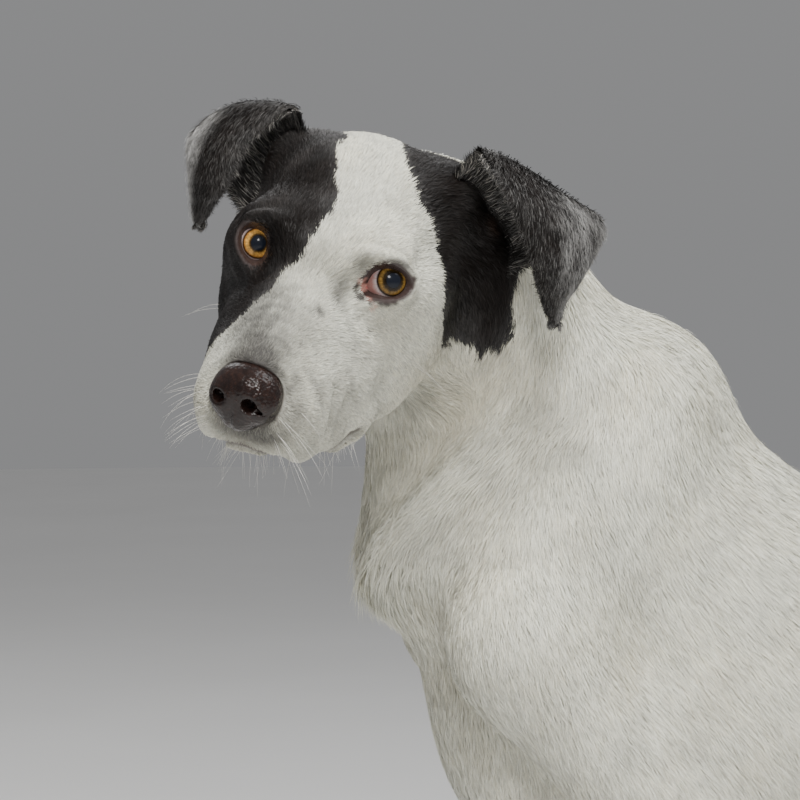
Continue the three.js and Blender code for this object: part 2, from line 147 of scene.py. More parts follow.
def rotation(roll, pitch, yaw):
    """The matrix that turns about X, then Y, then Z, by degrees."""
    (cx, sx), (cy, sy), (cz, sz) = (
        (math.cos(math.radians(a)), math.sin(math.radians(a))) for a in (roll, pitch, yaw)
    )
    about_x = np.array([[1, 0, 0], [0, cx, -sx], [0, sx, cx]])
    about_y = np.array([[cy, 0, sy], [0, 1, 0], [-sy, 0, cy]])
    about_z = np.array([[cz, -sz, 0], [sz, cz, 0], [0, 0, 1]])
    return about_z @ about_y @ about_x


HEAD_AXES = rotation(HEAD_TILT, HEAD_DROP, HEAD_TURN)  # columns: forward, left, up


def to_head(p):
    return (p - HEAD_ORIGIN) @ HEAD_AXES


def from_head(p):
    return np.asarray(p, float) @ HEAD_AXES.T + HEAD_ORIGIN


def eye_centre(s):
    return EYE_CENTRE * (1, s, 1)


def near_head(h):
    """The numbers of the points that the head's own shape can reach."""
    return np.flatnonzero((np.abs(h - HEAD_MIDDLE) < (150, 110, 120)).all(1))


def from_middle(h):
    """How far places are from the middle of the head."""
    return size(h - HEAD_MIDDLE)


def near_eye(h, s, reach=30):
    """The numbers of the points within reach of an eye's centre."""
    return np.flatnonzero(((h - eye_centre(s)) ** 2).sum(1) < reach**2)


def egg(centre, half, blend, turn=(0, 0, 0)):
    """An egg-shaped body: its distance function, blend, and lowest and highest corners."""
    centre, half, turned = np.array(centre, float), np.array(half, float), rotation(*turn)
    reach = np.sqrt(((turned * half) ** 2).sum(1))

    def distance(p):
        q = (p - centre) @ turned
        k0 = np.sqrt(((q / half) ** 2).sum(1))
        k1 = np.sqrt(((q / half**2) ** 2).sum(1))
        return k0 * (k0 - 1) / np.maximum(k1, 1e-6)

    return distance, blend, centre - reach, centre + reach


def limb(start, end, start_radius, end_radius, blend, narrow=1.0):
    """A tapered limb with round ends, scaled across Y by narrow."""
    shape = np.array([1, narrow, 1])
    a, b = np.array(start, float) / shape, np.array(end, float) / shape
    ba = b - a
    length2, taper = ba @ ba, start_radius - end_radius
    a2 = length2 - taper * taper

    def distance(p):
        pa = p / shape - a
        along = pa @ ba
        past = along - length2
        x2 = ((pa * length2 - along[:, None] * ba) ** 2).sum(1)
        y2, z2 = along * along * length2, past * past * length2
        k = math.copysign(1, taper) * taper * taper * x2
        side = (np.sqrt(x2 * a2 / length2) + along * taper) / length2 - start_radius
        low = np.sqrt(x2 + y2) / length2 - start_radius
        high = np.sqrt(x2 + z2) / length2 - end_radius
        d = np.where(np.sign(along) * a2 * y2 < k, low, side)
        return np.where(np.sign(past) * a2 * z2 > k, high, d) * narrow

    thick = max(start_radius, end_radius) * shape
    ends = np.array([start, end], float)
    return distance, blend, ends.min(0) - thick, ends.max(0) + thick


def smooth_union(a, b, blend):
    h = np.maximum(blend - np.abs(a - b), 0) / blend
    return np.minimum(a, b) - h * h * blend * 0.25


def field_of(bodies):
    """The distance function of several bodies, each run smoothly into those before it."""

    def field(p):
        d = np.full(len(p), 1e3)
        for distance, blend, low, high in bodies:
            reach = 1.6 * blend + 10
            near = np.flatnonzero(((p > low - reach) & (p < high + reach)).all(1))
            if len(near):
                d[near] = smooth_union(d[near], distance(p[near]), blend)
        return d

    return field


def skull_bodies():
    middle = [
        egg((-66, 0, 1), (52, 49, 42), 12),
        egg((-26, 0, 6), (40, 36, 22), 14),
        egg((-102, 0, -10), (28, 34, 30), 12),
        limb((0, 0, -17), (64, 0, -33), 22, 14.5, 12),
        egg((-62, 0, -46), (56, 42, 34), 20),
    ]
    for s in SIDES:
        middle += [
            egg((-78, 33 * s, 14), (24, 21, 20), 12),
            egg((-16, 26 * s, 9), (19, 15, 9), 10, (0, 0, 24 * s)),
            egg((-31, 40 * s, -13), (34, 12, 14), 12, (0, 0, -16 * s)),
            egg((-52, 36 * s, -38), (38, 19, 37), 14),
            egg((-2, 20 * s, -36), (36, 16, 24), 16, (0, 0, -12 * s)),
            limb((6, 18 * s, -49), (61, 11 * s, -49), 22, 16.5, 14),
            egg((35, 20.5 * s, -62), (27, 10, 18), 8),
            egg((8, 28 * s, -64), (26, 9.5, 19), 8),
            egg((-2, 32.5 * s, -66), (20, 8.5, 14), 5),
            limb((-34, 26 * s, -64), (57, 6.5 * s, -63.5), 20, 10.8, 8),
            egg(eye_centre(s) + (1, 1.5 * s, 0), (14, 15.5, 13), 6, (10 * s, -14, 20 * s)),
        ]
    return middle


def trunk_bodies():
    return [
        limb((56, 0, 418), (-35, 0, 318), 96, 111, 10, 0.79),
        limb((-35, 0, 318), (-106, 0, 225), 111, 82, 20, 0.79),
        limb((-106, 0, 225), (-156, 0, 122), 81, 68, 20, 0.9),
        egg((-168, 0, 82), (52, 72, 80), 30),
        egg((108, 0, 392), (49, 46, 40), 30),
        egg((78, 0, 300), (44, 52, 74), 30, (0, 20, 0)),
        egg((24, 0, 464), (54, 44, 44), 30, (0, 40, 0)),
        limb((78, 0, 452), (104, 18, 506), 78, 62, 30, 0.88),
        limb((104, 18, 506), (138, 54, 547), 60, 51, 24),
        egg((112, 10, 430), (34, 44, 46), 24),
    ]


def paw_toes(root, tip, spread, flare, radii, reach, s):
    """The four toes of a paw: the middle two reach further."""
    made = []
    for i, across in enumerate(PAW_TOES):
        more = reach if i in (1, 2) else 0
        start = (root[0] + more * 0.6, root[1] * s + across * spread, root[2])
        end = (tip[0] + more, tip[1] * s + across * flare, tip[2])
        made.append(limb(start, end, *radii, 3))
    return made


def foreleg_bodies(s):
    return [
        limb((28, 52 * s, 470), (88, 70 * s, 366), 34, 37, 30, 0.8),
        egg((90, 66 * s, 358), (34, 30, 36), 22),
        limb((86, 72 * s, 350), (10, 76 * s, 254), 37, 30, 16, 0.85),
        egg((-6, 72 * s, 300), (42, 22, 52), 20, (0, 30, 0)),
        egg((-14, 75 * s, 243), (17, 15, 20), 12),
        limb((8, 72 * s, 242), (22, 68 * s, 96), 27, 16.5, 14),
        egg((23, 68 * s, 90), (19, 17, 20), 8),
        limb((25, 68 * s, 84), (40, 69 * s, 30), 15.5, 17, 8),
        egg((47, 69 * s, 17), (31, 26, 17), 8),
        *paw_toes((52, 69, 20), (76, 70, 9), 0.8, 1, (11, 9.5), 10, s),
    ]


def hindleg_bodies(s):
    return [
        egg((-112, 72 * s, 122), (96, 40, 80), 26, (0, -28, 12 * s)),
        egg((-168, 50 * s, 128), (52, 40, 78), 26, (0, -12, 0)),
        egg((-186, 40 * s, 44), (40, 36, 44), 22),
        egg((-50, 100 * s, 158), (36, 27, 36), 22),
        limb((-50, 100 * s, 150), (-146, 92 * s, 42), 29, 15, 12),
        egg((-152, 90 * s, 28), (18, 15, 19), 8),
        limb((-150, 90 * s, 18), (-62, 108 * s, 20), 15.5, 16, 8),
        egg((-48, 112 * s, 17), (32, 25, 17), 8, (0, 0, 14 * s)),
        *paw_toes((-44, 113, 19), (-20, 120, 9), 0.7, 0.95, (10.5, 9), 9, s),
    ]


TAIL_LINE = np.array(
    [
        (-196, 0, 104),
        (-236, -2, 60),
        (-262, -8, 24),
        (-300, -24, 17),
        (-342, -56, 15),
        (-372, -102, 13),
        (-384, -150, 11),
    ],
    float,
)
TAIL_RADII = (34, 26, 21, 17.5, 15.5, 13.5, 9)


def tail_bodies():
    pairs = zip(TAIL_LINE[:-1], TAIL_LINE[1:], TAIL_RADII[:-1], TAIL_RADII[1:])
    return [limb(a, b, r, q, 6 if i else 18) for i, (a, b, r, q) in enumerate(pairs)]


head_field = field_of(skull_bodies())
body_field = field_of(
    trunk_bodies()
    + [body for s in SIDES for body in hindleg_bodies(s)]
    + [body for s in SIDES for body in foreleg_bodies(s)]
    + tail_bodies()
)


def dog_field(p):
    h = to_head(p)
    near = near_head(h)
    d = body_field(p)
    d[near] = smooth_union(d[near], head_field(h[near]), HEAD_BLEND)
    return d


def value_and_slope(field, p, e=0.35):
    """The field and its slope from four samples about each point."""
    value, slope = np.zeros(len(p)), np.zeros_like(p)
    for k in ((1, -1, -1), (-1, -1, 1), (-1, 1, -1), (1, 1, 1)):
        k = np.array(k, float)
        f = field(p + e * k)
        value += f / 4
        slope += f[:, None] * k / (4 * e)
    return value, slope


# ---------- Curves on the skin: creases, ridges, lips and lids ----------


def smooth_line(points, steps, closed=False):
    """A Catmull-Rom curve through the points."""
    p = np.array(points, float)
    if closed:
        p = np.vstack([p[-1:], p, p[:2]])
    else:
        p = np.vstack([2 * p[0] - p[1], p, 2 * p[-1] - p[-2]])
    t = np.linspace(0, 1, steps, endpoint=False)[:, None]
    pieces = []
    for a, b, c, d in zip(p[:-3], p[1:-2], p[2:-1], p[3:]):
        square, cube = 2 * a - 5 * b + 4 * c - d, 3 * b - a - 3 * c + d
        pieces.append(0.5 * (2 * b + (c - a) * t + square * t**2 + cube * t**3))
    line = np.vstack(pieces)
    return line if closed else np.vstack([line, p[-2:-1]])


def line_distance(p, line):
    """How far points are from a line of straight pieces, and the nearest place's share of its length."""
    best, place = np.full(len(p), 1e9), np.zeros(len(p))
    for n, (a, b) in enumerate(zip(line[:-1], line[1:])):
        ab = b - a
        t = np.clip(((p - a) @ ab) / (ab @ ab), 0, 1)
        d = np.sqrt(((p - a - t[:, None] * ab) ** 2).sum(1))
        place = np.where(d < best, (n + t) / (len(line) - 1), place)
        best = np.minimum(best, d)
    return best, place


# Each: points forward, left and up of the head's origin, width, depth inwards (outwards if negative).
LIP_LINE = np.array([
    (70.5, 0, -67), (68.5, 5, -68.3), (66, 9, -69.8), (58, 11.5, -73.6), (49, 14.5, -76.2),
    (40, 18.5, -79.4), (32, 23.5, -79.4), (27.5, 29, -77.8), (24.5, 33, -75), (20, 36, -70.9),
    (14.5, 38.3, -69.4), (10, 39.6, -69.2),
])
LIP_CORNER = np.array([18, 37, -69.8])
MOUTH_MIDDLE = np.array([15, 0, -68])
LOWER_LIP = (1, 0.8, 3.3)  # from the line of the lips back to the lower lip's edge
HEAD_FOLDS = [
    (((89, -1.5, -44), (86, -1.5, -50), (83, -1.2, -58)), 1.1, 1.6),  # philtrum
    (((34, 0, 2), (14, 0, 10), (-8, 0, 24), (-34, 0, 33)), 9, 1.6),  # furrow of the forehead
]
for s in SIDES:
    HEAD_FOLDS += [
        (LIP_LINE * (1, s, 1), 1.6, 4.2),
        ((LIP_LINE[1:] - LOWER_LIP) * (1, s, 1), 1.7, -1.2),
        (((22, 26 * s, -30), (4, 33 * s, -46), (-10, 40 * s, -66)), 6, 1.3),  # behind the flews
        (((14, 17 * s, -2), (12, 25 * s, -15), (4, 33 * s, -22), (-6, 40 * s, -21)), 3.4, 1.2),  # tear trough
        (((8, 20 * s, 10), (1, 27 * s, 18), (-7, 37 * s, 19), (-15, 43 * s, 12)), 3.0, -1.3),  # brow
        (((78, 15 * s, -50), (60, 21 * s, -56), (40, 26 * s, -60)), 8, -1.2),  # whisker pad
        # Creases of the cheek above the corner of the mouth.
        (((38, 29 * s, -41), (42, 30 * s, -51), (42, 29 * s, -62)), 2.6, 2.6),
        (((29, 32 * s, -45), (32, 33 * s, -56), (32, 32 * s, -67)), 2.6, 3.0),
        (((19, 35 * s, -47), (22, 36 * s, -56), (23, 34 * s, -65)), 2.6, 2.6),
    ]
BODY_FOLDS = [
    (((117, 34, 303), (98, 49, 292), (75, 56, 278)), 8, 2.6),  # between breast and left upper arm
    (((117, -34, 303), (98, -49, 292), (75, -56, 278)), 8, 2.6),
    (((161, -10, 446), (164, 0, 430), (164, 8, 414)), 15, 5.0),  # under the throat
    # Folds of skin where the neck turns: the throat's, under the cheek, and behind the roll of the neck.
    (
        (
            (105, 84, 497), (111, 80, 485), (117, 75, 474), (119, 71, 465), (137, 57, 448), (147, 47, 435),
            (156, 32, 419),
        ),
        9, 9.0,
    ),
    (((150, 62, 478), (139, 69, 479), (127, 77, 484), (116, 82, 491), (108, 84, 498)), 4.5, 2.6),
    (((160, 60, 466), (145, 62, 471), (134, 69, 475)), 4.5, 1.8),
    (((96, 82, 487), (106, 77, 470), (125, 66, 450), (144, 52, 431), (159, 26, 410)), 8, -5.5),
    (((66, 82, 465), (79, 81, 460), (89, 79, 455), (106, 74, 447), (114, 70, 443)), 5, 5.0),
    (((75, 81, 448), (95, 78, 436), (112, 72, 424), (129, 62, 412), (146, 44, 396), (154, 30, 386)), 8, 7.5),
    (((153, 32, 391), (147, 38, 379), (140, 40, 372)), 9, 3.6),
    (((40, 90, 474), (62, 87, 462), (80, 84, 452)), 6, 3.0),  # where the neck meets the shoulder
    (((60, 92, 452), (84, 88, 436), (104, 80, 420)), 7, 2.2),
]

# The opening between the lids, round the eye's own forward axis, in millimetres towards the ear and up.
EYE_AXIS = np.array([0.88, 0.28, 0.38])
LID_OPENING = {
    1: (
        (-12.6, -6.6), (-11.6, -3), (-10.2, 0.4), (-7.4, 4), (-2.8, 6.2), (3, 6.5), (7.8, 5.6), (11.6, 2.9),
        (13.2, -0.6), (11.4, -4.6), (7, -7.9), (1.6, -9), (-4.6, -8.9), (-9.4, -8.5),
    ),
    -1: (
        (1.7, -0.8), (2.6, 2.3), (2.3, 4.8), (0.4, 6.8), (-2.8, 8), (-5.9, 8.2), (-8.8, 7.2), (-11.2, 5.1),
        (-12.6, 1.6), (-13.3, -2), (-13.2, -4.9), (-12.2, -7.9), (-9.8, -9.7), (-6.2, -9.4), (-2.8, -7.3),
        (-0.2, -4.4),
    ),
}


def eye_frame(s):
    """The eye's forward axis, its axis towards the ear, and its upward axis."""
    out = EYE_AXIS * (1, s, 1)
    out = out / np.linalg.norm(out)
    side = np.cross((0, 0, 1.0), out) * s
    side /= np.linalg.norm(side)
    return out, side, np.cross(out, side) * s


def from_eye(h, s):
    """How far places are from the middle of an eye's opening."""
    return size(h - eye_centre(s) - (6, 1 * s, 2))


def eye_flat(h, s):
    """Points round an eye, unrolled: millimetres towards the ear and up, and the distance from its centre."""
    out, side, up = eye_frame(s)
    d = h - eye_centre(s)
    r = size(d) + 1e-9
    a, b, c = (d @ side) / r, (d @ up) / r, (d @ out) / r
    n = np.sqrt(a * a + b * b) + 1e-9
    angle = np.arccos(np.clip(c, -1, 1)) * 15
    return angle * a / n, angle * b / n, r


def inside_loop(x, y, loop):
    """How far inside a closed loop points are, negative outside."""
    p = columns_of(x, y)
    best, odd = np.full(len(p), 1e9), np.zeros(len(p), bool)
    for a, b in zip(loop, np.roll(loop, -1, 0)):
        ab = b - a
        t = np.clip(((p - a) @ ab) / max(ab @ ab, 1e-12), 0, 1)
        best = np.minimum(best, np.hypot(*(p - a - t[:, None] * ab).T))
        crossing = (a[1] > y) != (b[1] > y)
        with np.errstate(divide="ignore", invalid="ignore"):
            at = a[0] + (y - a[1]) / (b[1] - a[1]) * ab[0]
        odd ^= crossing & (x < at)
    return np.where(odd, best, -best)


LID_ROOM = 1.0  # what the lids' round edges take off the opening
LID_LOOPS = {s: smooth_line(LID_OPENING[s], 8, True) for s in SIDES}


def opening(h, s):
    """How far inside the opening between the lids points are, and their distance from the eye's centre."""
    x, y, r = eye_flat(h, s)
    return inside_loop(x, y, LID_LOOPS[s]) + LID_ROOM, r


def folds(p, which):
    """How far in the folds push the skin."""
    total = np.zeros(len(p))
    for points, width, depth in which:
        line = smooth_line(points, 4)
        near = np.flatnonzero(((p > line.min(0) - 3 * width) & (p < line.max(0) + 3 * width)).all(1))
        if len(near):
            d, place = line_distance(p[near], line)
            fade = np.sqrt(np.clip(4.5 * place * (1 - place) + 0.25, 0, 1))  # shallow at both ends
            total[near] += depth * bell(d, width) * fade
    return total


def coat_depth(p, h):
    """How far the skin lies under the tips of the hair."""
    body = 4.8 - 1.6 * smoothstep(240, 150, p[:, 2]) - 1.0 * smoothstep(80, 40, p[:, 2])
    face = 4.6 - 2.6 * smoothstep(-110, -30, h[:, 0]) - 0.8 * smoothstep(-10, 40, h[:, 0])
    far = from_middle(h)
    return face + (body - face) * smoothstep(95, 135, far)


nose_field = field_of(
    [egg((74.5, 0, -37.8), (12, 15.5, 12), 5), egg((76, -1, -48.5), (9, 9, 8.5), 5)]
    + [egg((78.5, 7.8 * s, -42.3), (7, 7.5, 7.5), 5) for s in SIDES]
)


def skin_field(p, detail=True):
    """The skin: the dog less its coat, with its folds, lips, lids and the flats where it rests."""
    h = to_head(p)
    d = dog_field(p) + coat_depth(p, h)
    if detail:
        d += folds(p, BODY_FOLDS)
        near = near_head(h)
        q = h[near]
        e = d[near] + folds(q, HEAD_FOLDS)
        for s in SIDES:
            close = near_eye(q, s)
            if not len(close):
                continue
            inside, r = opening(q[close], s)
            _, y, _ = eye_flat(q[close], s)
            lid = bell(inside + 2.0, 1.5) * 1.1  # the lids stand out round the opening
            fold = bell(inside + 6.2, 1.1) * smoothstep(0, 5, y)  # the fold over the upper lid
            hole = np.maximum(-inside, EYE_RADIUS - 1.4 - r)
            e[close] = -smooth_union(-(e[close] - lid + fold), hole, 1.3)
        d[near] = e + 11 * smoothstep(0.8, -4.5, nose_field(q))  # the nose sits in a hollow of the skin
    return np.maximum(d, FLOOR + 0.6 - p[:, 2])


# ---------- Meshes from a field ----------


def surface_nets(value, low, cell):
    """Vertices and triangles of a grid's zero level: one vertex in each cell that the surface crosses."""
    inside = value < 0
    shape = np.array(value.shape)
    corners = [np.array([n & 1, (n >> 1) & 1, (n >> 2) & 1]) for n in range(8)]

    def at(grid, corner):
        return grid[tuple(slice(c, c + m - 1) for c, m in zip(corner, shape))]

    count = sum(at(inside, c).astype(np.int8) for c in corners)
    cells = np.argwhere((count > 0) & (count < 8))
    index = np.full(shape, -1, np.int64)
    index[tuple(cells.T)] = np.arange(len(cells))
    values = [value[tuple((cells + c).T)] for c in corners]
    total, number = np.zeros((len(cells), 3)), np.zeros(len(cells))
    for n, c in enumerate(corners):
        for axis in range(3):
            if c[axis]:
                continue
            a, b = values[n], values[n + (1 << axis)]
            crossed = (a < 0) != (b < 0)
            t = np.where(crossed, a / np.where(crossed, a - b, 1), 0)
            place = np.repeat(c[None].astype(float), len(cells), 0)
            place[:, axis] += t
            total += place * crossed[:, None]
            number += crossed
    points = low + (cells + total / number[:, None]) * cell
    quads = []
    for axis in range(3):
        u, v = (axis + 1) % 3, (axis + 2) % 3
        step = np.eye(3, dtype=int)
        here = inside[tuple(slice(0, m - 1) if i == axis else slice(1, m) for i, m in enumerate(shape))]
        there = inside[tuple(slice(1, m) if i == axis else slice(1, m) for i, m in enumerate(shape))]
        found = np.argwhere(here != there)
        starts = found + (step[u] + step[v])
        backs = (0 * step[u], step[u], step[u] + step[v], step[v])
        outward = here[tuple(found.T)]
        quad = np.stack([index[tuple((starts - back).T)] for back in backs], 1)
        quad = np.where(outward[:, None], quad, quad[:, ::-1])
        quads.append(quad[(quad >= 0).all(1)])
    quads = np.vstack(quads)
    return points, np.vstack([quads[:, [0, 1, 2]], quads[:, [0, 2, 3]]])


def settle(field, points, rounds=2, most=2.5):
    """Moves points onto the field's zero level."""
    for _ in range(rounds):
        value, slope = value_and_slope(field, points)
        step = slope * (value / np.maximum((slope**2).sum(1), 0.2))[:, None]
        length = size(step) + 1e-9
        points = points - step * np.minimum(1, most / length)[:, None]
    return points


def edges_of(triangles):
    """Each edge once, and for each triangle the numbers of its three edges."""
    pairs = np.sort(np.vstack([triangles[:, [0, 1]], triangles[:, [1, 2]], triangles[:, [2, 0]]]), 1)
    edges, where = np.unique(pairs, axis=0, return_inverse=True)
    return edges, where.reshape(3, -1).T


def divide(points, triangles, wanted):
    """Splits every edge that is longer than is wanted there. Returns None where none is."""
    edges, where = edges_of(triangles)
    middle = points[edges].mean(1)
    length = size(points[edges[:, 0]] - points[edges[:, 1]])
    split = length > 1.4 * wanted(middle)
    if not split.any():
        return None
    fresh = np.full(len(edges), -1)
    fresh[split] = len(points) + np.arange(split.sum())
    mid = fresh[where]
    number = (mid >= 0).sum(1)
    made = [triangles[number == 0]]
    for turn in range(3):
        order = [(turn + i) % 3 for i in range(3)]
        one = (number == 1) & (mid[:, turn] >= 0)
        tri, m = triangles[one][:, order], mid[one][:, order]
        made += [columns_of(tri[:, 0], m[:, 0], tri[:, 2]), columns_of(m[:, 0], tri[:, 1], tri[:, 2])]
        two = (number == 2) & (mid[:, (turn + 2) % 3] < 0)
        tri, m = triangles[two][:, order], mid[two][:, order]
        made += [
            columns_of(m[:, 0], tri[:, 1], m[:, 1]),
            columns_of(tri[:, 0], m[:, 0], m[:, 1]),
            columns_of(tri[:, 0], m[:, 1], tri[:, 2]),
        ]
    all3 = number == 3
    tri, m = triangles[all3], mid[all3]
    made += [
        m,
        columns_of(tri[:, 0], m[:, 0], m[:, 2]),
        columns_of(m[:, 0], tri[:, 1], m[:, 1]),
        columns_of(m[:, 2], m[:, 1], tri[:, 2]),
    ]
    return np.vstack([points, middle[split]]), np.vstack(made)


def mean_of_neighbours(values, edges, count):
    total = np.stack(
        [
            np.bincount(edges[:, 0], values[edges[:, 1], i], count)
            + np.bincount(edges[:, 1], values[edges[:, 0], i], count)
            for i in range(values.shape[1])
        ],
        1,
    )
    number = np.bincount(edges.ravel(), minlength=count)
    return total / np.maximum(number, 1)[:, None]


def vertex_normals(points, triangles):
    a, b, c = (points[triangles[:, i]] for i in range(3))
    face = np.cross(b - a, c - a)
    count = len(points)
    total = [sum(np.bincount(triangles[:, j], face[:, i], count) for j in range(3)) for i in range(3)]
    total = np.stack(total, 1)
    return total / np.maximum(size(total), 1e-12)[:, None]


def wanted_length(p):
    """The length of edge that the skin's detail needs at each place."""
    h = to_head(p)
    far = size(h - (-20, 0, -25))
    length = 2.6 + 5.4 * smoothstep(85, 120, far)
    muzzle = 1.7 + 6 * smoothstep(0, 1, (30 - h[:, 0]) / 40)
    length = np.minimum(length, muzzle + 6 * smoothstep(60, 100, far - 10))
    for s in SIDES:
        length = np.minimum(length, 1.0 + 8 * smoothstep(14, 30, from_eye(h, s)))
    close = near_head(h)
    for s in SIDES:
        d, _ = line_distance(h[close], LIP_LINE * (1, s, 1))
        length[close] = np.minimum(length[close], 0.9 + 4 * smoothstep(2.5, 12, d))
    for line, width, _ in BODY_FOLDS:
        d, _ = line_distance(p, np.array(line, float))
        length = np.minimum(length, 2.8 + 6 * smoothstep(1.3 * width, 3 * width, d))
    paw = smoothstep(50, 70, p[:, 2]) * 5 + 3.0 + 5 * smoothstep(-40, -70, p[:, 0])
    return np.minimum(length, paw)


def skin_mesh():
    """The whole skin, from a coarse grid and then divided and settled where it needs detail."""
    low, high, cell = np.array([-402.0, -168, -6]), np.array([276.0, 222, 636]), 6.0
    grid, shape = lattice(low, high, cell)
    coarse = skin_field(grid, detail=False).reshape(shape)
    points, triangles = surface_nets(coarse, low, cell)
    points = settle(lambda p: skin_field(p, False), points)
    for level in range(5):
        parts = divide(points, triangles, wanted_length)
        if parts is None:
            break
        points, triangles = parts
        edges, _ = edges_of(triangles)
        for _ in range(2):
            normal = vertex_normals(points, triangles)
            move = mean_of_neighbours(points, edges, len(points)) - points
            points = points + 0.5 * along_skin(move, normal)
        points = settle(skin_field, points, 1 if level < 2 else 2, 1.5)
    return points, triangles


# ---------- Ears: curved sheets, the same as in the solids but thinner ----------

# Stations from root to tip, each with its front edge, its rear edge and the bulge between them.
EAR_STATIONS = {
    1: (
        ((-76, 36, 22), (-88, 43, -34), (-8, 2, 4)),
        ((-78, 47, 42), (-97, 70, -14), (-14, 4, 2)),
        ((-77, 51, 46), (-96, 98, 14), (-10, 0, 2)),
        ((-66, 59, 44), (-85, 105.5, 28), (-2, 0, 0)),
        ((-58, 74, 31), (-85, 109.5, 17), (5, 3, 2)),
        ((-60, 87, 8), (-79, 106, -3), (6, 4, 0)),
        ((-66, 95, -11), (-74, 102, -14), (3, 2, 0)),
        ((-71, 100, -23), (-72, 102, -23), (0, 0, 0)),
    ),
    -1: (
        ((-74, 31, 20), (-88, 43, -32), (-8, 2, 4)),
        ((-78, 42, 37), (-96, 66, -18), (-14, 4, 4)),
        ((-82, 46, 39), (-97, 82, -2), (-11, 2, 5)),
        ((-77, 54, 37), (-86, 89, 16), (-3, 3, 5)),
        ((-67, 64, 20), (-84, 93, 6), (3, 3, 3)),
        ((-62, 67, 2), (-80, 88, -7), (4, 4, 0)),
        ((-66, 73, -13), (-75, 83, -17), (2, 2, 0)),
        ((-71, 77, -25), (-72, 80, -25), (0, 0, 0)),
    ),
}
EAR_SKIN = 2.6  # thickness of the ear's skin
EAR_LINES = {}
for s in SIDES:
    stations = np.array(EAR_STATIONS[s], float) * (1, s, 1)
    EAR_LINES[s] = [smooth_line(stations[:, i], 24) for i in range(3)]


def along_line(line, t):
    """Points at shares t of a finely divided line, carried straight on past its ends."""
    last = len(line) - 1
    x = np.clip(t, 0, 1) * last
    i = np.minimum(x.astype(int), last - 1)
    point = line[i] + (line[i + 1] - line[i]) * (x - i)[:, None]
    over = (t - np.clip(t, 0, 1)) * last
    return point + over[:, None] * (line[-1] - line[-4]) / 3


def ear_point(s, along, across):
    front, rear, bulge = (along_line(line, along) for line in EAR_LINES[s])
    a = across[:, None]
    return between(front, rear, a) + bulge * 4 * a * (1 - a)


def ear_normal(s, along, across):
    """Square to the sheet, on its furred outer face."""
    d = 0.01
    down = ear_point(s, np.minimum(along + d, 1), across) - ear_point(s, np.minimum(along, 1 - d) - d, across)
    over = ear_point(s, along, across + d) - ear_point(s, along, across - d)
    return unit(np.cross(down, over) * s)


def ear_mesh(s, rows=64, columns=30):
    """A closed thin sheet in the head's frame."""
    along, across = np.meshgrid(np.linspace(0.02, 1, rows), np.linspace(0, 1, columns), indexing="ij")
    along, across = along.ravel(), across.ravel()
    edge = np.minimum(np.minimum(across, 1 - across) * 30, (1 - along) * 40)
    thick = EAR_SKIN * (0.25 + 0.75 * np.sqrt(np.clip(edge / 3, 0, 1)))
    point, normal = ear_point(s, along, across), ear_normal(s, along, across)
    faces = [point + normal * thick[:, None] / 2, point - normal * thick[:, None] / 2]
    count = rows * columns
    i, j = np.meshgrid(np.arange(rows - 1), np.arange(columns - 1), indexing="ij")
    a = (i * columns + j).ravel()
    b, c, d = a + 1, a + columns + 1, a + columns
    outer = np.vstack([columns_of(a, b, c), columns_of(a, c, d)])
    rim = list(range(columns))
    rim += [i * columns + columns - 1 for i in range(1, rows)]
    rim += [(rows - 1) * columns + j for j in range(columns - 2, -1, -1)]
    rim += [i * columns for i in range(rows - 2, 0, -1)]
    rim = np.array(rim)
    after = np.roll(rim, -1)
    wall = [columns_of(after, rim, rim + count), columns_of(after, rim + count, after + count)]
    triangles = np.vstack([outer, outer[:, ::-1] + count, *wall])
    points = np.vstack(faces)
    a, b, c = (points[triangles[:, i]] for i in range(3))
    if (a * np.cross(b, c)).sum() < 0:
        triangles = triangles[:, ::-1]
    return from_head(points), triangles


# ---------- Blender meshes ----------


def placed(p):
    """From the dog's own frame in millimetres to the row frame in metres."""
    return (np.asarray(p, float) + SHIFT) / 1000


left_eye = np.array(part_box("eye_left")).mean(0) * 1000
SHIFT = left_eye - from_head(EYE_CENTRE)


def new_object(name, data):
    made = bpy.data.objects.new(name, data)
    bpy.context.scene.collection.objects.link(made)
    return made


def mesh_object(name, points, triangles):
    mesh = bpy.data.meshes.new(name)
    points = placed(points).astype(np.float32)
    triangles = np.ascontiguousarray(triangles, np.int32)
    mesh.vertices.add(len(points))
    mesh.vertices.foreach_set("co", points.ravel())
    mesh.loops.add(triangles.size)
    mesh.loops.foreach_set("vertex_index", triangles.ravel())
    mesh.polygons.add(len(triangles))
    mesh.polygons.foreach_set("loop_start", np.arange(0, triangles.size, 3, dtype=np.int32))
    mesh.polygons.foreach_set("use_smooth", np.full(len(triangles), True))
    mesh.update(calc_edges=True)
    mesh.validate()
    return new_object(name, mesh)


def arrays_of(piece):
    """A piece's vertices in the dog's frame, and its triangles."""
    mesh = piece.data
    mesh.calc_loop_triangles()
    points = np.empty(len(mesh.vertices) * 3, np.float32)
    mesh.vertices.foreach_get("co", points)
    triangles = np.empty(len(mesh.loop_triangles) * 3, np.int32)
    mesh.loop_triangles.foreach_get("vertices", triangles)
    return points.reshape(-1, 3).astype(float) * 1000 - SHIFT, triangles.reshape(-1, 3)


def add_values(piece, name, values, kind="FLOAT", field="value"):
    """A number or vector for each vertex, for the piece's material to read."""
    data = piece.data.attributes.new(name, kind, "POINT").data
    data.foreach_set(field, values.astype(np.float32).ravel())


def add_colour(piece, name, values):
    values = np.hstack([values, np.ones((len(values), 1))])
    add_values(piece, name, values, "FLOAT_COLOR", "color")


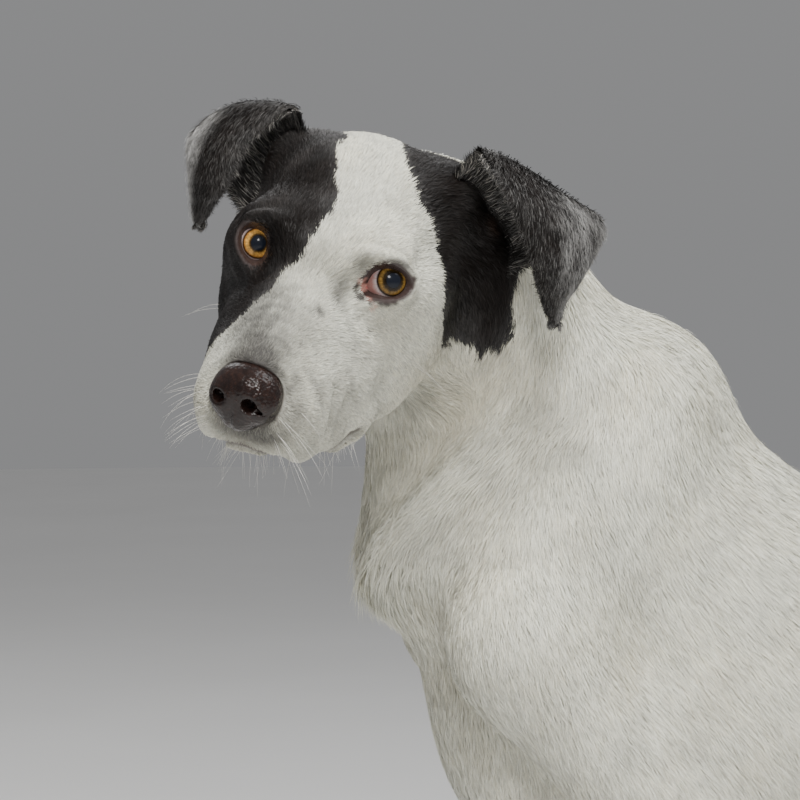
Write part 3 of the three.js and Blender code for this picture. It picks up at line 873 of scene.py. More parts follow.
def join_ears(skin):
    """The ears grow out of the skin: one closed body of triangles."""
    for s in SIDES:
        ear = mesh_object("ear_skin", *ear_mesh(s))
        union = skin.modifiers.new("ear", "BOOLEAN")
        union.operation, union.object, union.solver = "UNION", ear, "MANIFOLD"
        bpy.context.view_layer.objects.active = skin
        bpy.ops.object.modifier_apply(modifier=union.name)
        bpy.data.objects.remove(ear)
    points, triangles = arrays_of(skin)
    bpy.data.objects.remove(skin)
    return mesh_object("skin", points, triangles)


# The parts of the body, as the unwrap and the coat tell them apart.
HEAD, EAR_LEFT, EAR_RIGHT, TRUNK, FORELEG_LEFT, FORELEG_RIGHT, FOOT_LEFT, FOOT_RIGHT, TAIL = range(9)
CHART_WIDTHS = range(900, 2400, 60)  # millimetres, the widths of sheet tried for the unwrap
CHART_MARGIN = 6.0


def part_of(centre, off_field):
    """The part of the body at each place."""
    h = to_head(centre)
    x, y, z = centre.T
    left = y > 0
    part = np.full(len(centre), TRUNK)
    part[(size(h - (-20, 0, -25)) < 100) & (h[:, 0] > -105)] = HEAD
    fore = (x > -40) & (z < 228) & (np.abs(y) > 44) & (x - 0.61 * np.abs(y) > -63)
    part[fore] = np.where(left, FORELEG_LEFT, FORELEG_RIGHT)[fore]
    hind = (z < 46) & (np.abs(y) > 68) & (x > -176) & ~fore
    part[hind] = np.where(left, FOOT_LEFT, FOOT_RIGHT)[hind]
    part[x < -238] = TAIL
    part[off_field] = np.where(h[:, 1] > 0, EAR_LEFT, EAR_RIGHT)[off_field]
    return part


def unwrap(points, triangles, off_field):
    """An unwrap of the skin's own shape: each part is laid out flat from its six sides, side by side."""
    centre = points[triangles].mean(1)
    part = part_of(centre, off_field)
    edges, _ = edges_of(triangles)
    normal = vertex_normals(points, triangles)
    for _ in range(6):  # so that small creases don't break a chart up
        normal = normal + mean_of_neighbours(normal, edges, len(points))
    facing = normal[triangles].sum(1)
    on_head = part <= EAR_RIGHT
    facing = np.where(on_head[:, None], facing @ HEAD_AXES, facing)
    axis = np.abs(facing).argmax(1)
    chart = part * 6 + axis * 2 + (facing[np.arange(len(axis)), axis] > 0)
    corners = points[triangles]
    turned = to_head(corners.reshape(-1, 3)).reshape(-1, 3, 3)
    corners = np.where(on_head[:, None, None], turned, corners)
    uv = np.zeros((len(triangles), 3, 2))
    boxes = []
    for c in np.unique(chart):
        own = chart == c
        across, up = [i for i in range(3) if i != (c % 6) // 2]
        flat = corners[own][:, :, [across, up]]
        low = flat.reshape(-1, 2).min(0)
        uv[own] = flat - low
        boxes.append((*(flat.reshape(-1, 2).max(0) - low), c))
    boxes.sort(key=lambda box: -box[1])
    best = None
    for width in CHART_WIDTHS:
        x = y = row = 0.0
        spots = []
        for w, t, c in boxes:
            if x + w > width:
                x, y, row = 0.0, y + row + CHART_MARGIN, 0.0
            spots.append((c, x, y))
            x, row = x + w + CHART_MARGIN, max(row, t)
        side = max(width, y + row)
        if best is None or side < best[0]:
            best = (side, spots)
    side, spots = best
    for c, x, y in spots:
        uv[chart == c] += (x, y)
    return uv / side * 0.994 + 0.003


def lay_out(piece, uv):
    piece.data.uv_layers.new(name="OFBake").data.foreach_set("uv", uv.astype(np.float32).ravel())


# ---------- Markings ----------

WHITE = np.array([0.79, 0.785, 0.68])
CREAM = np.array([0.70, 0.62, 0.43])
BLACK = np.array([0.0078, 0.0057, 0.0048])
GREY = np.array([0.13, 0.127, 0.125])
PINK = np.array([0.55, 0.27, 0.22])
DARK_SKIN = np.array([0.045, 0.03, 0.027])
# The slit's colour stands partly for the dark lip, partly for painted shade in the slit.
SLIT = np.array([0.03, 0.022, 0.02])  # hair in the slit of the mouth
# TICK also carries the painted shade over the bridge.
TICK = np.array([0.045, 0.041, 0.041])  # the dark hairs among the white
BARE_EAR = (0.20, 0.11, 0.07)  # what the thin place under the ear adds

PATCH_REACH = 150  # how far from the middle of the head the black patches can lie
# Outlines of the black patches: millimetres forward, and degrees round from the top of the head.
LEFT_PATCH = (
    (-108, 12), (-92, 9), (-66, 15), (-51, 24), (-41, 39), (-45, 60), (-34, 83),
    (-43, 100), (-56, 117), (-80, 119), (-92, 113), (-99, 96), (-108, 70), (-115, 40),
)
RIGHT_PATCH = (
    (-108, -22), (-88, -16), (-68, -15.5), (-45, -11), (-31, -8.4), (-18, -3.3), (-3.5, 1.3),
    (8, -1.2), (14, -6.3), (18, -14), (30, -17), (34, -32), (36, -50), (37, -76), (34, -104),
    (16, -128), (-20, -134), (-60, -130), (-92, -112), (-106, -80), (-114, -45),
)
# Small dark spots: place forward, left and up, and radius.
SPOTS = (
    (32, 13.6, -11.2, 2.3), (52, 13.4, -20.1, 1.2), (20, 12, -2, 1.6), (44, 17, -22, 1.1), (8, 30, -22, 1.3),
    (60, 15, -34, 1.2), (38, 22, -36, 1.2), (66, 16, -46, 1.1), (52, 22, -48, 1.0), (70, 17, -40, 1.0),
)
# Soft grey smudges: place forward, left and up, reach and strength.
SMUDGES = (
    (71.5, 3.5, -21.5, 6, 1.0), (67, -3, -18, 6, 0.6), (77, 4, -26, 6, 0.95), (75, -6, -24.5, 6, 0.6),
    (61, -7, -18.5, 9, 0.42),
    (44, -17, -24, 10, 0.42), (30, -14, -14, 9, 0.3), (60, 9, -18.8, 7, 0.25), (72, 21, -44, 7, 0.3),
    (75, 15, -56, 7, 0.5), (75, 6, -59, 8, 0.6), (75, -8, -60, 7, 0.4), (17, 17, -6.8, 5, 0.6),
    (14, 17.5, -4, 4, 0.5), (6.6, 22.5, 6, 4.5, 0.45), (-14, 52, -12, 6, 0.15), (64.4, 18.8, -31.6, 4, 0.4),
    (52, 24, -40, 5, 0.28), (44, 14, -14, 7, 0.2), (26, 24, -40, 9, 0.12), (70, -12, -28, 5, 0.35),
    # The broad ones below grey the bridge as a whole: grey hair, deepened as painted shade.
    (60, -4, -17, 15, 0.25), (40, -9, -10, 15, 0.22), (72, -2, -26, 9, 0.3), (20, -12, -6, 13, 0.12),
)
# Dark places on the left eye's lids: place forward, left and up, and radius.
LID_DARK = (
    (5, 21.4, -4.9, 1.8), (6.2, 21.7, -7.2, 1.8), (7, 23.6, -9.4, 2.2), (5.6, 24.8, -9.2, 1.9),
    (4.6, 29, -10.3, 1.3), (4.2, 31.2, -8.2, 1.7), (3.4, 33.6, -8.9, 1.9), (2.2, 36.4, -9, 2.0),
    (0.8, 39.4, -7.9, 2.0), (-1.2, 42.6, -5.4, 1.9), (-3.7, 44.6, -1.8, 1.6), (-5.1, 44.8, 0.8, 1.7),
    (-7.1, 44.9, 2.1, 1.5), (3.6, 24.9, -1.5, 1.2), (3, 26, 1.7, 1.1), (2.6, 27.7, 4.4, 1.0),
)
# Pink places on the left eye's lids, as above.
LID_PINK = (
    (4, 21.6, -2.4, 1.5), (3.9, 23.6, -3.4, 1.7), (4.5, 25, -6.2, 1.4), (4.2, 26.5, -5.4, 1.6),
    (4.6, 27.6, -8, 1.2), (4.5, 29.2, -9, 1.2), (3.9, 31.6, -11, 1.3), (4.6, 30.5, -13, 1.2),
)
# The dark crease over the left eye.
CREASE = np.array([
    (2.7, 27.3, 5.4), (2.1, 30, 7.8), (0.2, 33.8, 9.8), (-2.9, 37.7, 9.5), (-6.6, 41, 7.1), (-8.9, 43.7, 4.2),
])
SKIN_SPOT = np.array([-88.8, 59.6, 10.1])  # a thin place in the fur under the left ear


def waves(p, scale, seed):
    """A smooth random wave over space, about -1 to 1."""
    rng = np.random.default_rng(seed)
    total = np.zeros(len(p))
    for _ in range(7):
        direction = rng.normal(size=3)
        direction /= np.linalg.norm(direction)
        total += np.sin((p @ direction) * (6.28 / scale) * rng.uniform(0.6, 1.7) + rng.uniform(0, 6.28))
    return total / 3.2


def round_head(h):
    """Millimetres forward, and degrees round from the top of the head or muzzle, positive to the left."""
    axis = -15 - 30 * smoothstep(-20, 40, h[:, 0])
    return h[:, 0], np.degrees(np.arctan2(h[:, 1], h[:, 2] - axis))


def patch_depth(h):
    """How far inside a black patch of the head places are, in millimetres, negative outside."""
    forward, degrees = round_head(h)
    wobble = 1.6 * waves(h, 16, 5) + 0.8 * waves(h, 6, 6)
    best = np.full(len(h), -1e9)
    for outline in (LEFT_PATCH, RIGHT_PATCH):
        loop = smooth_line(np.array(outline) * (1, 0.8), 5, True)
        best = np.maximum(best, inside_loop(forward, degrees * 0.8, loop))
    return best + wobble


def black_share(h, off_field):
    """1 in the black patches and on the ears, 0 elsewhere."""
    return np.where(off_field, 1.0, (patch_depth(h) > 0) * (from_middle(h) < PATCH_REACH))


def near_spots(h, spots):
    """How much of each place is covered by soft round spots, 0 to 1."""
    clear = np.ones(len(h))
    for f, l, u, radius in spots:
        clear *= 1 - np.exp(-((((h - (f, l, u)) ** 2).sum(1) / radius**2) ** 1.5))
    return 1 - clear


def ticking_and_shade(h):
    """The share of dark colour: grey hair behind and under the nose and in small spots, deepened over the
    bridge with painted shade.
    """
    patchy = 0.75 + 0.5 * waves(h, 9, 71)
    x, y, z = h.T
    # Grey over the bridge: grey hair, deepened as painted shade.
    share = 0.52 * patchy * np.exp(-((x - 46) ** 2) / 420 - (y + 5) ** 2 / 120 - (z + 14) ** 2 / 120)
    share += 0.60 * np.exp(-((x - 76) ** 2) / 60 - y**2 / 110 - (z + 57) ** 2 / 40)
    share += smoothstep(5, 30, x) * (0.03 + 0.16 * smoothstep(0.35, 1.0, waves(h, 13, 72)))
    for *centre, reach, much in SMUDGES:
        share += much * blot(h, centre, reach)
    for *centre, radius in SPOTS:
        share += 1.3 * blot(h, centre, radius)
    rim = bell(np.clip(nose_field(h), 0, 50), 5)
    share += 0.5 * patchy * rim * smoothstep(-42, -32, z) * smoothstep(-16, -4, y)
    crease, _ = line_distance(h, CREASE)
    share += 0.9 * bell(crease, 1.1)
    share = 1 - np.exp(-1.6 * np.clip(share, 0, 9))
    return np.clip(np.maximum(share, near_spots(h, LID_DARK)), 0, 0.95)


def slit_distance(h):
    """How far places are from the slit of the mouth, which runs inwards from the line of the lips."""
    best = np.full(len(h), 99.0)
    near = np.flatnonzero((h[:, 0] > -5) & (h[:, 2] < -52) & (h[:, 2] > -95) & (np.abs(h[:, 1]) < 50))
    for s in SIDES:
        line = smooth_line(LIP_LINE * (1, s, 1), 3)
        inward = unit(MOUTH_MIDDLE - line)
        for depth in (0, 1.7, 3.4, 5.1):
            d, _ = line_distance(h[near], line + inward * depth)
            best[near] = np.minimum(best[near], d)
    return best


def hair_tones(p, h, off_field, rng):
    """The colour of each tuft at its root and at its tip."""
    count = len(p)
    dark = black_share(h, off_field) > 0.5
    tick = np.clip(ticking_and_shade(h) * (0.86 + 0.28 * rng.random(count)), 0, 0.93)[:, None]
    on_face = smoothstep(120, 90, from_middle(h))
    off_face = 1 - on_face
    # How bright the white is: it varies from tuft to tuft and in clumps.
    vary = 0.055 + 0.05 * on_face
    clumps = 0.05 * on_face * waves(h, 5, 61) + 0.04 * on_face * waves(h, 11, 62)
    bright = 1 + vary * rng.normal(size=count) + clumps + 0.03 * waves(p, 30, 1)
    bright = np.clip(bright, 0.6, 1.12)[:, None]
    # Painted shade makes it dimmer in the folds and creases and towards the muzzle; painted light makes it
    # brighter on the ridges.
    body_dip = np.clip(folds(p, BODY_FOLDS) / 8, -0.8, 1)
    head_dip = np.clip(folds(h, HEAD_FOLDS) / 2.6, -0.5, 1)
    dip = body_dip * off_face + head_dip * on_face
    bright *= ((1 - 0.17 * dip) * (1 - 0.10 * smoothstep(10, 45, h[:, 0]) * on_face))[:, None]
    # How creamy it is: more under the jaw, and more in the folds, a stained tint that also paints shade
    # there.
    below_jaw = oval(h, (-70, 60, -75), (45, 40, 35))
    cream = 0.10 + 0.3 * np.clip(dip, 0, 1) * off_face + 0.10 * waves(p, 55, 2) + 0.28 * below_jaw
    cream = np.clip(cream + 0.10 * rng.normal(size=count), 0, 0.6)[:, None]
    mottle = 1 - 0.09 * smoothstep(0.2, 0.9, waves(p, 38, 8))[:, None]
    white = between(WHITE, CREAM, cream) * bright * mottle
    pink = 0.55 * near_spots(h, LID_PINK)[:, None]
    white = between(white, PINK * 1.35, pink)
    white = between(white, TICK, tick)
    # The hair along the slit of the mouth goes dark: partly the dark lip, partly painted shade in the slit.
    slit = 0.95 * (bell(slit_distance(h), 1.5) * (0.45 + 0.55 * smoothstep(40, 34, h[:, 0])))[:, None]
    white = between(white, SLIT, slit)
    shade = np.clip(0.75 + 0.45 * rng.random(count) ** 2 + 0.25 * waves(p, 20, 3), 0.4, 2.2)[:, None]
    frost = np.clip(0.02 + 0.07 * waves(h, 24, 4) + 0.12 * (rng.random(count) < 0.12), 0, 0.5)[:, None]
    edge = np.exp(-np.clip(patch_depth(h), 0, 50) / 3.5)[:, None] * 0.25
    black = BLACK * shade * (1 - frost) + GREY * (frost + edge)
    black = black + blot(h, SKIN_SPOT, 4.0)[:, None] * BARE_EAR
    # Painted shade darkens the roots, most on the face, and painted sheen lightens the tips, most on the
    # black hair.
    root = np.where(dark[:, None], black * 0.7, white * (0.97 - 0.25 * on_face[:, None]))
    tip = np.where(dark[:, None], black * 1.35 + 0.001, white * 1.05)
    return root, tip, dark


def skin_tones(h, off_field):
    """The colour of the skin, and how wet it is, at each vertex."""
    dark = black_share(h, off_field)[:, None]
    on_face = smoothstep(120, 90, from_middle(h))[:, None]
    # Painted shade: the skin under the white coat is darker on the face, so the gaps between tufts look
    # shaded.
    tone = between(WHITE * (0.93 - 0.15 * on_face), BLACK * 1.2, dark)
    wet = np.zeros(len(h))
    near = near_head(h)
    q = h[near]
    tick = ticking_and_shade(q)[:, None] * (1 - dark[near])
    own = between(tone[near], TICK, tick)
    corner = np.minimum(*[((q - LIP_CORNER * (1, s, 1)) ** 2).sum(1) for s in SIDES])
    lip_share = np.maximum(bell(slit_distance(q), 1.7), np.exp(-corner / 2.6**2))[:, None] * 0.95
    own = between(own, DARK_SKIN, lip_share)
    muzzle = oval(q, (80, 0, -46), (12, 20, 16)) * 0.7
    muzzle = np.maximum(muzzle, smoothstep(1.2, -0.5, nose_field(q)))[:, None]
    own = between(own, DARK_SKIN, muzzle)
    for s in SIDES:
        close = near_eye(q, s, 34)
        inside, r = opening(q[close], s)
        x, _, _ = eye_flat(q[close], s)
        rim = bell(np.clip(-inside - 0.4, 0, 50), 0.65) * smoothstep(19, 16, r)
        dark_rim = np.ones(len(close))
        if s > 0:  # the left eye's rim is mottled, pink at its inner corner
            dark_rim = smoothstep(-14, -12, x + 1.2 * waves(q[close], 7, 9))
            dark_rim = np.maximum(dark_rim, near_spots(q[close], LID_DARK))
        colour = between(PINK, DARK_SKIN, dark_rim[:, None])
        own[close] = between(own[close], colour, rim[:, None])
        if s > 0:
            for spots, colour in ((LID_PINK, PINK), (LID_DARK, DARK_SKIN)):
                share = 0.9 * near_spots(q[close], spots)[:, None]
                own[close] = between(own[close], colour, share)
        wet[near[close]] = np.maximum(wet[near[close]], smoothstep(-1.0, 0.2, inside))
    tone[near] = own
    wet[near] = np.maximum(wet[near], 0.6 * lip_share[:, 0])
    return tone, wet


# ---------- How the coat lies ----------

# On the head: place and direction forward, left and up, and reach.
HEAD_LIE = [
    ((84, 0, -28), (-1, 0, 0.4), 10),
    ((60, 0, -18), (-1, 0, 0.15), 16),
    ((30, 0, -6), (-1, 0, 0.35), 16),
    ((6, 0, 12), (-1, 0, 0.8), 15),
    ((-25, 0, 32), (-1, 0, 0.35), 20),
    ((-60, 0, 45), (-1, 0, -0.05), 26),
    ((-100, 0, 25), (-0.7, 0, -0.8), 26),
    ((-125, 0, -10), (-0.2, 0, -1), 26),
    ((30, 0, -90), (-1, 0, -0.3), 20),
    ((-60, 0, -92), (-1, 0, -0.6), 30),
]
for s in SIDES:
    HEAD_LIE += [
        ((84, 9 * s, -54), (-0.5, 0.6 * s, -0.9), 8),
        ((70, 17 * s, -50), (-0.9, 0.35 * s, -0.45), 12),
        ((45, 24 * s, -50), (-1, 0.25 * s, -0.35), 14),
        ((42, 16 * s, -26), (-1, 0.35 * s, -0.1), 13),
        ((22, 20 * s, -20), (-1, 0.5 * s, -0.35), 11),
        ((12, 14 * s, 0), (-0.8, 0.45 * s, 0.55), 10),
        ((4, 25 * s, 14), (-0.7, 0.5 * s, 0.75), 10),
        ((-12, 37 * s, 16), (-0.9, 0.35 * s, 0.3), 11),
        ((-14, 46 * s, 2), (-1, 0.1 * s, -0.15), 11),
        ((-2, 38 * s, -15), (-0.8, 0.4 * s, -0.5), 10),
        ((6, 34 * s, -38), (-0.9, 0.2 * s, -0.6), 14),
        ((-30, 50 * s, -25), (-0.85, 0.1 * s, -0.6), 20),
        ((-60, 52 * s, -40), (-0.55, 0, -1), 22),
        ((-50, 40 * s, -75), (-0.9, 0, -0.8), 22),
        ((24, 26 * s, -78), (-1, 0.1 * s, -0.55), 15),
        ((-40, 38 * s, 28), (-1, 0.2 * s, 0.1), 18),
        ((-80, 45 * s, 20), (-0.8, 0.2 * s, -0.6), 20),
    ]
# On the body: place and direction in the dog's frame, and reach.
BODY_LIE = [
    ((159, 26, 410), (0.8, -0.15, -0.6), 16),
    ((144, 50, 424), (0.84, -0.15, -0.5), 16),
    ((124, 65, 443), (0.8, -0.15, -0.6), 16),
    ((108, 74, 462), (0.65, -0.1, -0.75), 16),
    ((95, 79, 481), (0.45, -0.1, -0.9), 17),
    ((85, 80, 501), (0.3, 0, -0.95), 20),
    ((75, 80, 467), (0.75, 0, -0.6), 14),
    ((55, 78, 486), (0.15, 0, -1), 20),
    ((37, 86, 457), (0.3, 0, -0.95), 20),
    ((104, 78, 428), (0.55, -0.1, -0.8), 18),
    ((87, 89, 420), (-0.1, 0, -1), 20),
    ((59, 94, 400), (-0.25, 0, -0.97), 26),
    ((126, 65, 408), (0.5, -0.1, -0.85), 18),
    ((144, 25, 365), (-0.15, 0, -1), 20),
    ((140, 68, 480), (-0.9, 0.2, -0.15), 14),
    ((127, 74, 476), (-0.85, 0.2, -0.35), 12),
    ((142, 57, 456), (-0.3, 0.1, -0.95), 14),
    ((150, 50, 440), (0.1, 0, -1), 12),
    ((60, 90, 480), (-0.35, 0.1, -0.9), 34),
    ((100, 84, 400), (-0.2, 0, -1), 40),
    ((160, 20, 455), (0.15, 0, -1), 30),
    ((165, 0, 400), (0.1, 0, -1), 34),
    ((120, 0, 300), (-0.1, 0, -1), 60),
    ((30, 95, 390), (-0.55, 0, -0.85), 50),
    ((30, -95, 390), (-0.55, 0, -0.85), 50),
    ((90, -70, 440), (-0.2, 0, -1), 50),
    ((100, -60, 510), (-0.1, -0.1, -1), 40),
    ((10, 0, 520), (-0.75, 0, -0.5), 50),
    ((-60, 0, 420), (-0.75, 0, -0.7), 70),
    ((-60, 95, 320), (-0.6, 0, -0.8), 60),
    ((-60, -95, 320), (-0.6, 0, -0.8), 60),
    ((-160, 0, 260), (-0.5, 0, -0.85), 70),
    ((-200, 0, 120), (-0.5, 0, -0.9), 60),
    ((0, 0, 200), (-0.9, 0, -0.3), 50),
]
for s in SIDES:
    BODY_LIE += [
        ((-120, 110 * s, 150), (-0.45, 0, -0.9), 60),
        ((-40, 110 * s, 160), (0.1, 0, -1), 40),
        ((-100, 100 * s, 60), (-0.9, 0, -0.5), 36),
        ((-170, 80 * s, 60), (-0.6, 0, -0.8), 40),
        ((-90, 105 * s, 20), (1, 0, -0.1), 26),
        ((-30, 120 * s, 14), (1, 0.2 * s, -0.5), 26),
        ((15, 72 * s, 200), (0, 0, -1), 40),
        ((25, 70 * s, 110), (0, 0, -1), 36),
        ((70, 70 * s, 16), (1, 0, -0.5), 28),
    ]
# The ridge of raised hair across the throat.
CREST = np.array([
    (62, 82, 469), (95, 78, 450), (114, 70, 440), (129, 62, 429), (144, 50, 417), (153, 36, 406),
    (163, 5, 400),
])
SHOWN = np.array([0.173, 0.983, 0.052])  # towards the side of the body that carries the finest hair


def coat_lie(points, triangles, normals):
    """The direction in which the hair lies at each vertex, along the skin."""
    h = to_head(points)
    total, weight = np.zeros_like(points), np.full(len(points), 1e-9)
    for sources, place, axes in ((HEAD_LIE, h, HEAD_AXES.T), (BODY_LIE, points, np.eye(3))):
        for at, direction, reach in sources:
            d2 = ((place - np.array(at, float)) ** 2).sum(1) / reach**2
            w = np.exp(-d2) + 1e-3 / (1 + d2) ** 2
            heading = np.array(direction, float)
            heading = heading / np.linalg.norm(heading)
            total += w[:, None] * (heading @ axes)
            weight += w
    lie = total / weight[:, None]
    tail = points[:, 0] < -225
    _, along = line_distance(points[tail], TAIL_LINE)
    segment = np.minimum((along * 6).astype(int), 5)
    lie[tail] = (TAIL_LINE[1:] - TAIL_LINE[:-1])[segment]
    d, _ = line_distance(points, CREST)
    crest = bell(d, 9)[:, None] * 1.2
    lie = unit(lie) + crest * np.array([0.75, -0.3, -0.55])
    edges, _ = edges_of(triangles)
    for _ in range(6):
        lie = unit(along_skin(lie, normals))
        lie = lie + mean_of_neighbours(lie, edges, len(points))
    return unit(along_skin(lie, normals))


def coat_plan(p, h, normals):
    """For each root: the tuft's length and width, how high it stands, and how thickly the tufts are set."""
    on_head = smoothstep(135, 100, from_middle(h))
    off_head = 1 - on_head
    muzzle = smoothstep(-5, 60, h[:, 0])
    crown = smoothstep(-20, -100, h[:, 0])
    seen = smoothstep(-0.35, 0.1, normals @ SHOWN) * smoothstep(230, 300, p[:, 2])
    low = smoothstep(240, 160, p[:, 2])
    paw = smoothstep(70, 35, p[:, 2])
    length = (13 - 3 * low - 2.5 * paw) * off_head + on_head * (5.8 + 2.5 * crown - 2.6 * muzzle)
    width = (0.95 - 0.52 * seen - 0.2 * paw) * off_head + on_head * (0.33 - 0.05 * muzzle)
    dense = (0.26 + 0.95 * seen + 0.1 * low + 0.2 * paw) * off_head + on_head * (2.3 + 1.6 * muzzle)
    height = coat_depth(p, h) * ((0.36 + 0.14 * seen) * off_head + 0.62 * on_head)
    crest, along = line_distance(p, CREST)
    lift = bell(crest, 7) * (0.35 + 0.65 * along)
    length += 8 * lift
    height += 3.5 * lift
    for s in SIDES:
        ear = oval(h, (-78, 45 * s, 36), (14, 9, 10))  # long hair at the root of the ear
        length += 7 * ear
        height += 3 * ear
    tuft = oval(p, (162, 6, 393), (28, 30, 20))  # the ruff at the front of the neck
    length += 12 * tuft
    width *= 1 + 0.9 * tuft
    dense *= 1 - 0.35 * tuft
    height += (3 + 16 * np.clip(0.5 + 0.9 * waves(p, 7, 33), 0, 1)) * tuft
    for s in SIDES:
        line = LIP_LINE * (1, s, 1)
        lip, _ = line_distance(h, line)
        under, _ = line_distance(h, line - np.array(LOWER_LIP) * (1, s, 1))
        length *= 1 - (0.5 + 0.3 * (h[:, 0] < 32)) * smoothstep(8, 3, lip) * (under > lip)
        below = bell(under, 3) * (under < lip)
        length += 2.0 * below
        height += 1.2 * below
        around = smoothstep(26, 12, from_eye(h, s))
        length *= 1 - 0.68 * around
        width *= 1 - 0.2 * around
        dense *= 1 + 0.8 * around
        height *= 1 - 0.55 * around
    return length, width, height, dense


# ---------- Tufts ----------

TUFT_STEPS = (0.5, 0.5)  # shares of a tuft's length from row to row
TUFT_RISE = (0.78, 0.88)  # shares of its height at the rows
TUFT_TAPER = (0.8, 1.0)  # shares of its width at the rows
TUFT_SIDES = np.array([[0, 1, 3], [0, 3, 2], [2, 3, 4]])
TUFT_TINT = (0, 0, 0.6, 0.6, 1)  # from the colour of its root to that of its tip, at its five points
TUFT_ROOT = 0.35  # how far under the skin a tuft begins
ROUND_TURN = 6.28  # a whole turn, near enough for a tuft's patch
PATCH = 0.003  # width of a tuft's patch on the unwrap
MOST_TUFTS = 66000  # in one piece
HEAD_REACH = 112  # how far the head's own pieces of coat reach from the middle of the head
BARE_RIM = -1.0  # how far outside the opening between the lids the hair begins, negative outwards


def scatter(points, triangles, per_area, rng):
    """Random places on a mesh: the triangle of each, and its shares of the three corners."""
    a, b, c = (points[triangles[:, i]] for i in range(3))
    area = np.sqrt((np.cross(b - a, c - a) ** 2).sum(1)) / 2
    number = rng.poisson(area * per_area[triangles].mean(1))
    chosen = np.repeat(np.arange(len(triangles)), number)
    u, v = rng.random((2, len(chosen)))
    over = u + v > 1
    u[over], v[over] = 1 - u[over], 1 - v[over]
    return chosen, columns_of(1 - u - v, u, v)


def blend_corners(values, triangles, chosen, shares):
    return (values[triangles[chosen]] * shares[..., None]).sum(1)


def nearest(tree, points):
    """The nearest place on the skin to each point, and its triangle."""
    found = [tree.find_nearest(p) for p in points.tolist()]
    return np.array([f[0][:] for f in found]), np.array([f[2] for f in found])


def grow(tree, skin, roots, rng):
    """The rows of each tuft, which follow the skin and the way that the coat lies."""
    _, triangles, normals, lie = skin
    place, normal, course = roots["place"], roots["normal"], roots["course"]
    length, width, height = roots["length"], roots["width"], roots["height"]
    count = len(place)
    swing = rng.normal(size=count) * roots["swing"]
    roll = rng.uniform(-0.4, 0.4, count)
    rows = []
    here, low = place, place - normal * TUFT_ROOT

    def pair(centre, normal, course, share):
        side = unit(np.cross(normal, course))
        side = side * np.cos(roll)[:, None] + normal * np.sin(roll)[:, None]
        offset = side * (width * share / 2)[:, None]
        return [centre - offset, centre + offset]

    course = unit(course + np.cross(normal, course) * swing[:, None])
    rows += pair(low, normal, course, TUFT_TAPER[0])
    for step, rise, taper in zip(TUFT_STEPS, TUFT_RISE, (*TUFT_TAPER[1:], 0)):
        reach = here + course * (length * step)[:, None]
        here, chosen = nearest(tree, reach)
        normal = unit(normals[triangles[chosen]].sum(1))
        fresh = lie[triangles[chosen]].sum(1)
        fresh = unit(along_skin(fresh, normal))
        fresh = unit(fresh + np.cross(normal, fresh) * swing[:, None])
        course = unit(0.4 * course + 0.6 * fresh)
        if taper:
            rise = rise - 0.3 * smoothstep(4, 9, height)  # long raised tufts stand out straight
        centre = here + normal * (height * rise)[:, None]
        rows += pair(centre, normal, course, taper) if taper else [centre]
    return np.stack(rows, 1)


def tuft_piece(name, rows, root, tip, uv, turn):
    """One mesh of many tufts, each with its colours from root to tip and its patch of the unwrap."""
    count = len(rows)
    faces = (np.arange(count)[:, None, None] * 5 + TUFT_SIDES[None]).reshape(-1, 3)
    piece = mesh_object(name, rows.reshape(-1, 3), faces)
    share = np.array(TUFT_TINT)[None, :, None]
    colour = between(root[:, None, :], tip[:, None, :], share)
    add_colour(piece, "hair", colour.reshape(-1, 3))
    across = np.array([-1, 1, -1, 1, 0]) * 0.28 * PATCH
    along = np.array([-1, -1, 0, 0, 1]) * 0.5 * PATCH
    c, s = np.cos(turn)[:, None], np.sin(turn)[:, None]
    spread = np.stack([across * c - along * s, across * s + along * c], 2)
    corner = np.clip(uv[:, None, :] + spread, 0.0005, 0.9995).reshape(-1, 2)
    lay_out(piece, corner[faces].reshape(-1, 3, 2))
    return piece


def bare(p, h):
    """Where no hair grows: the nose, the openings of the eyes and mouth, and the soles."""
    none = (nose_field(h) < 0.6) | (p[:, 2] < FLOOR + 1.2)
    for s in SIDES:
        close = near_eye(h, s)
        inside, r = opening(h[close], s)
        none[close] |= (inside > BARE_RIM) & (r < 16)
        none |= ((h - LIP_CORNER * (1, s, 1)) ** 2).sum(1) < 2.9**2
    return none | (slit_distance(h) < 1.0 + 0.4 * (h[:, 0] < 36))


def region_of(p, h, dark, part):
    """The name of the coat piece that each tuft belongs to."""
    far = from_middle(h)
    name = np.full(len(p), "coat_flank_right", dtype=object)
    name[p[:, 1] > 5] = "coat_flank_left"
    name[(p[:, 0] > 40) & (p[:, 1] > 5)] = "coat_shoulder_left"
    name[(p[:, 0] > 112) & (p[:, 2] < 405)] = "coat_breast"
    name[(p[:, 0] < -60)] = "coat_hindquarters"
    upper = (p[:, 2] > 405) & (p[:, 0] > 20)
    name[upper] = "coat_neck_right"
    name[upper & (p[:, 1] > 45)] = "coat_neck_left"
    name[(part == FORELEG_LEFT) | (part == FORELEG_RIGHT)] = "coat_forelegs"
    name[(part == FOOT_LEFT) | (part == FOOT_RIGHT)] = "coat_feet"
    name[part == TAIL] = "coat_tail"
    name[far < HEAD_REACH] = "coat_skull"
    name[(far < HEAD_REACH) & (h[:, 2] < -40)] = "coat_jaw"
    name[(far < HEAD_REACH) & (h[:, 0] > -8)] = "coat_face"
    name[(far < HEAD_REACH) & (h[:, 0] > 30)] = "coat_muzzle"
    name[(far < PATCH_REACH) & dark & (h[:, 0] < 40)] = "coat_patches"
    return name


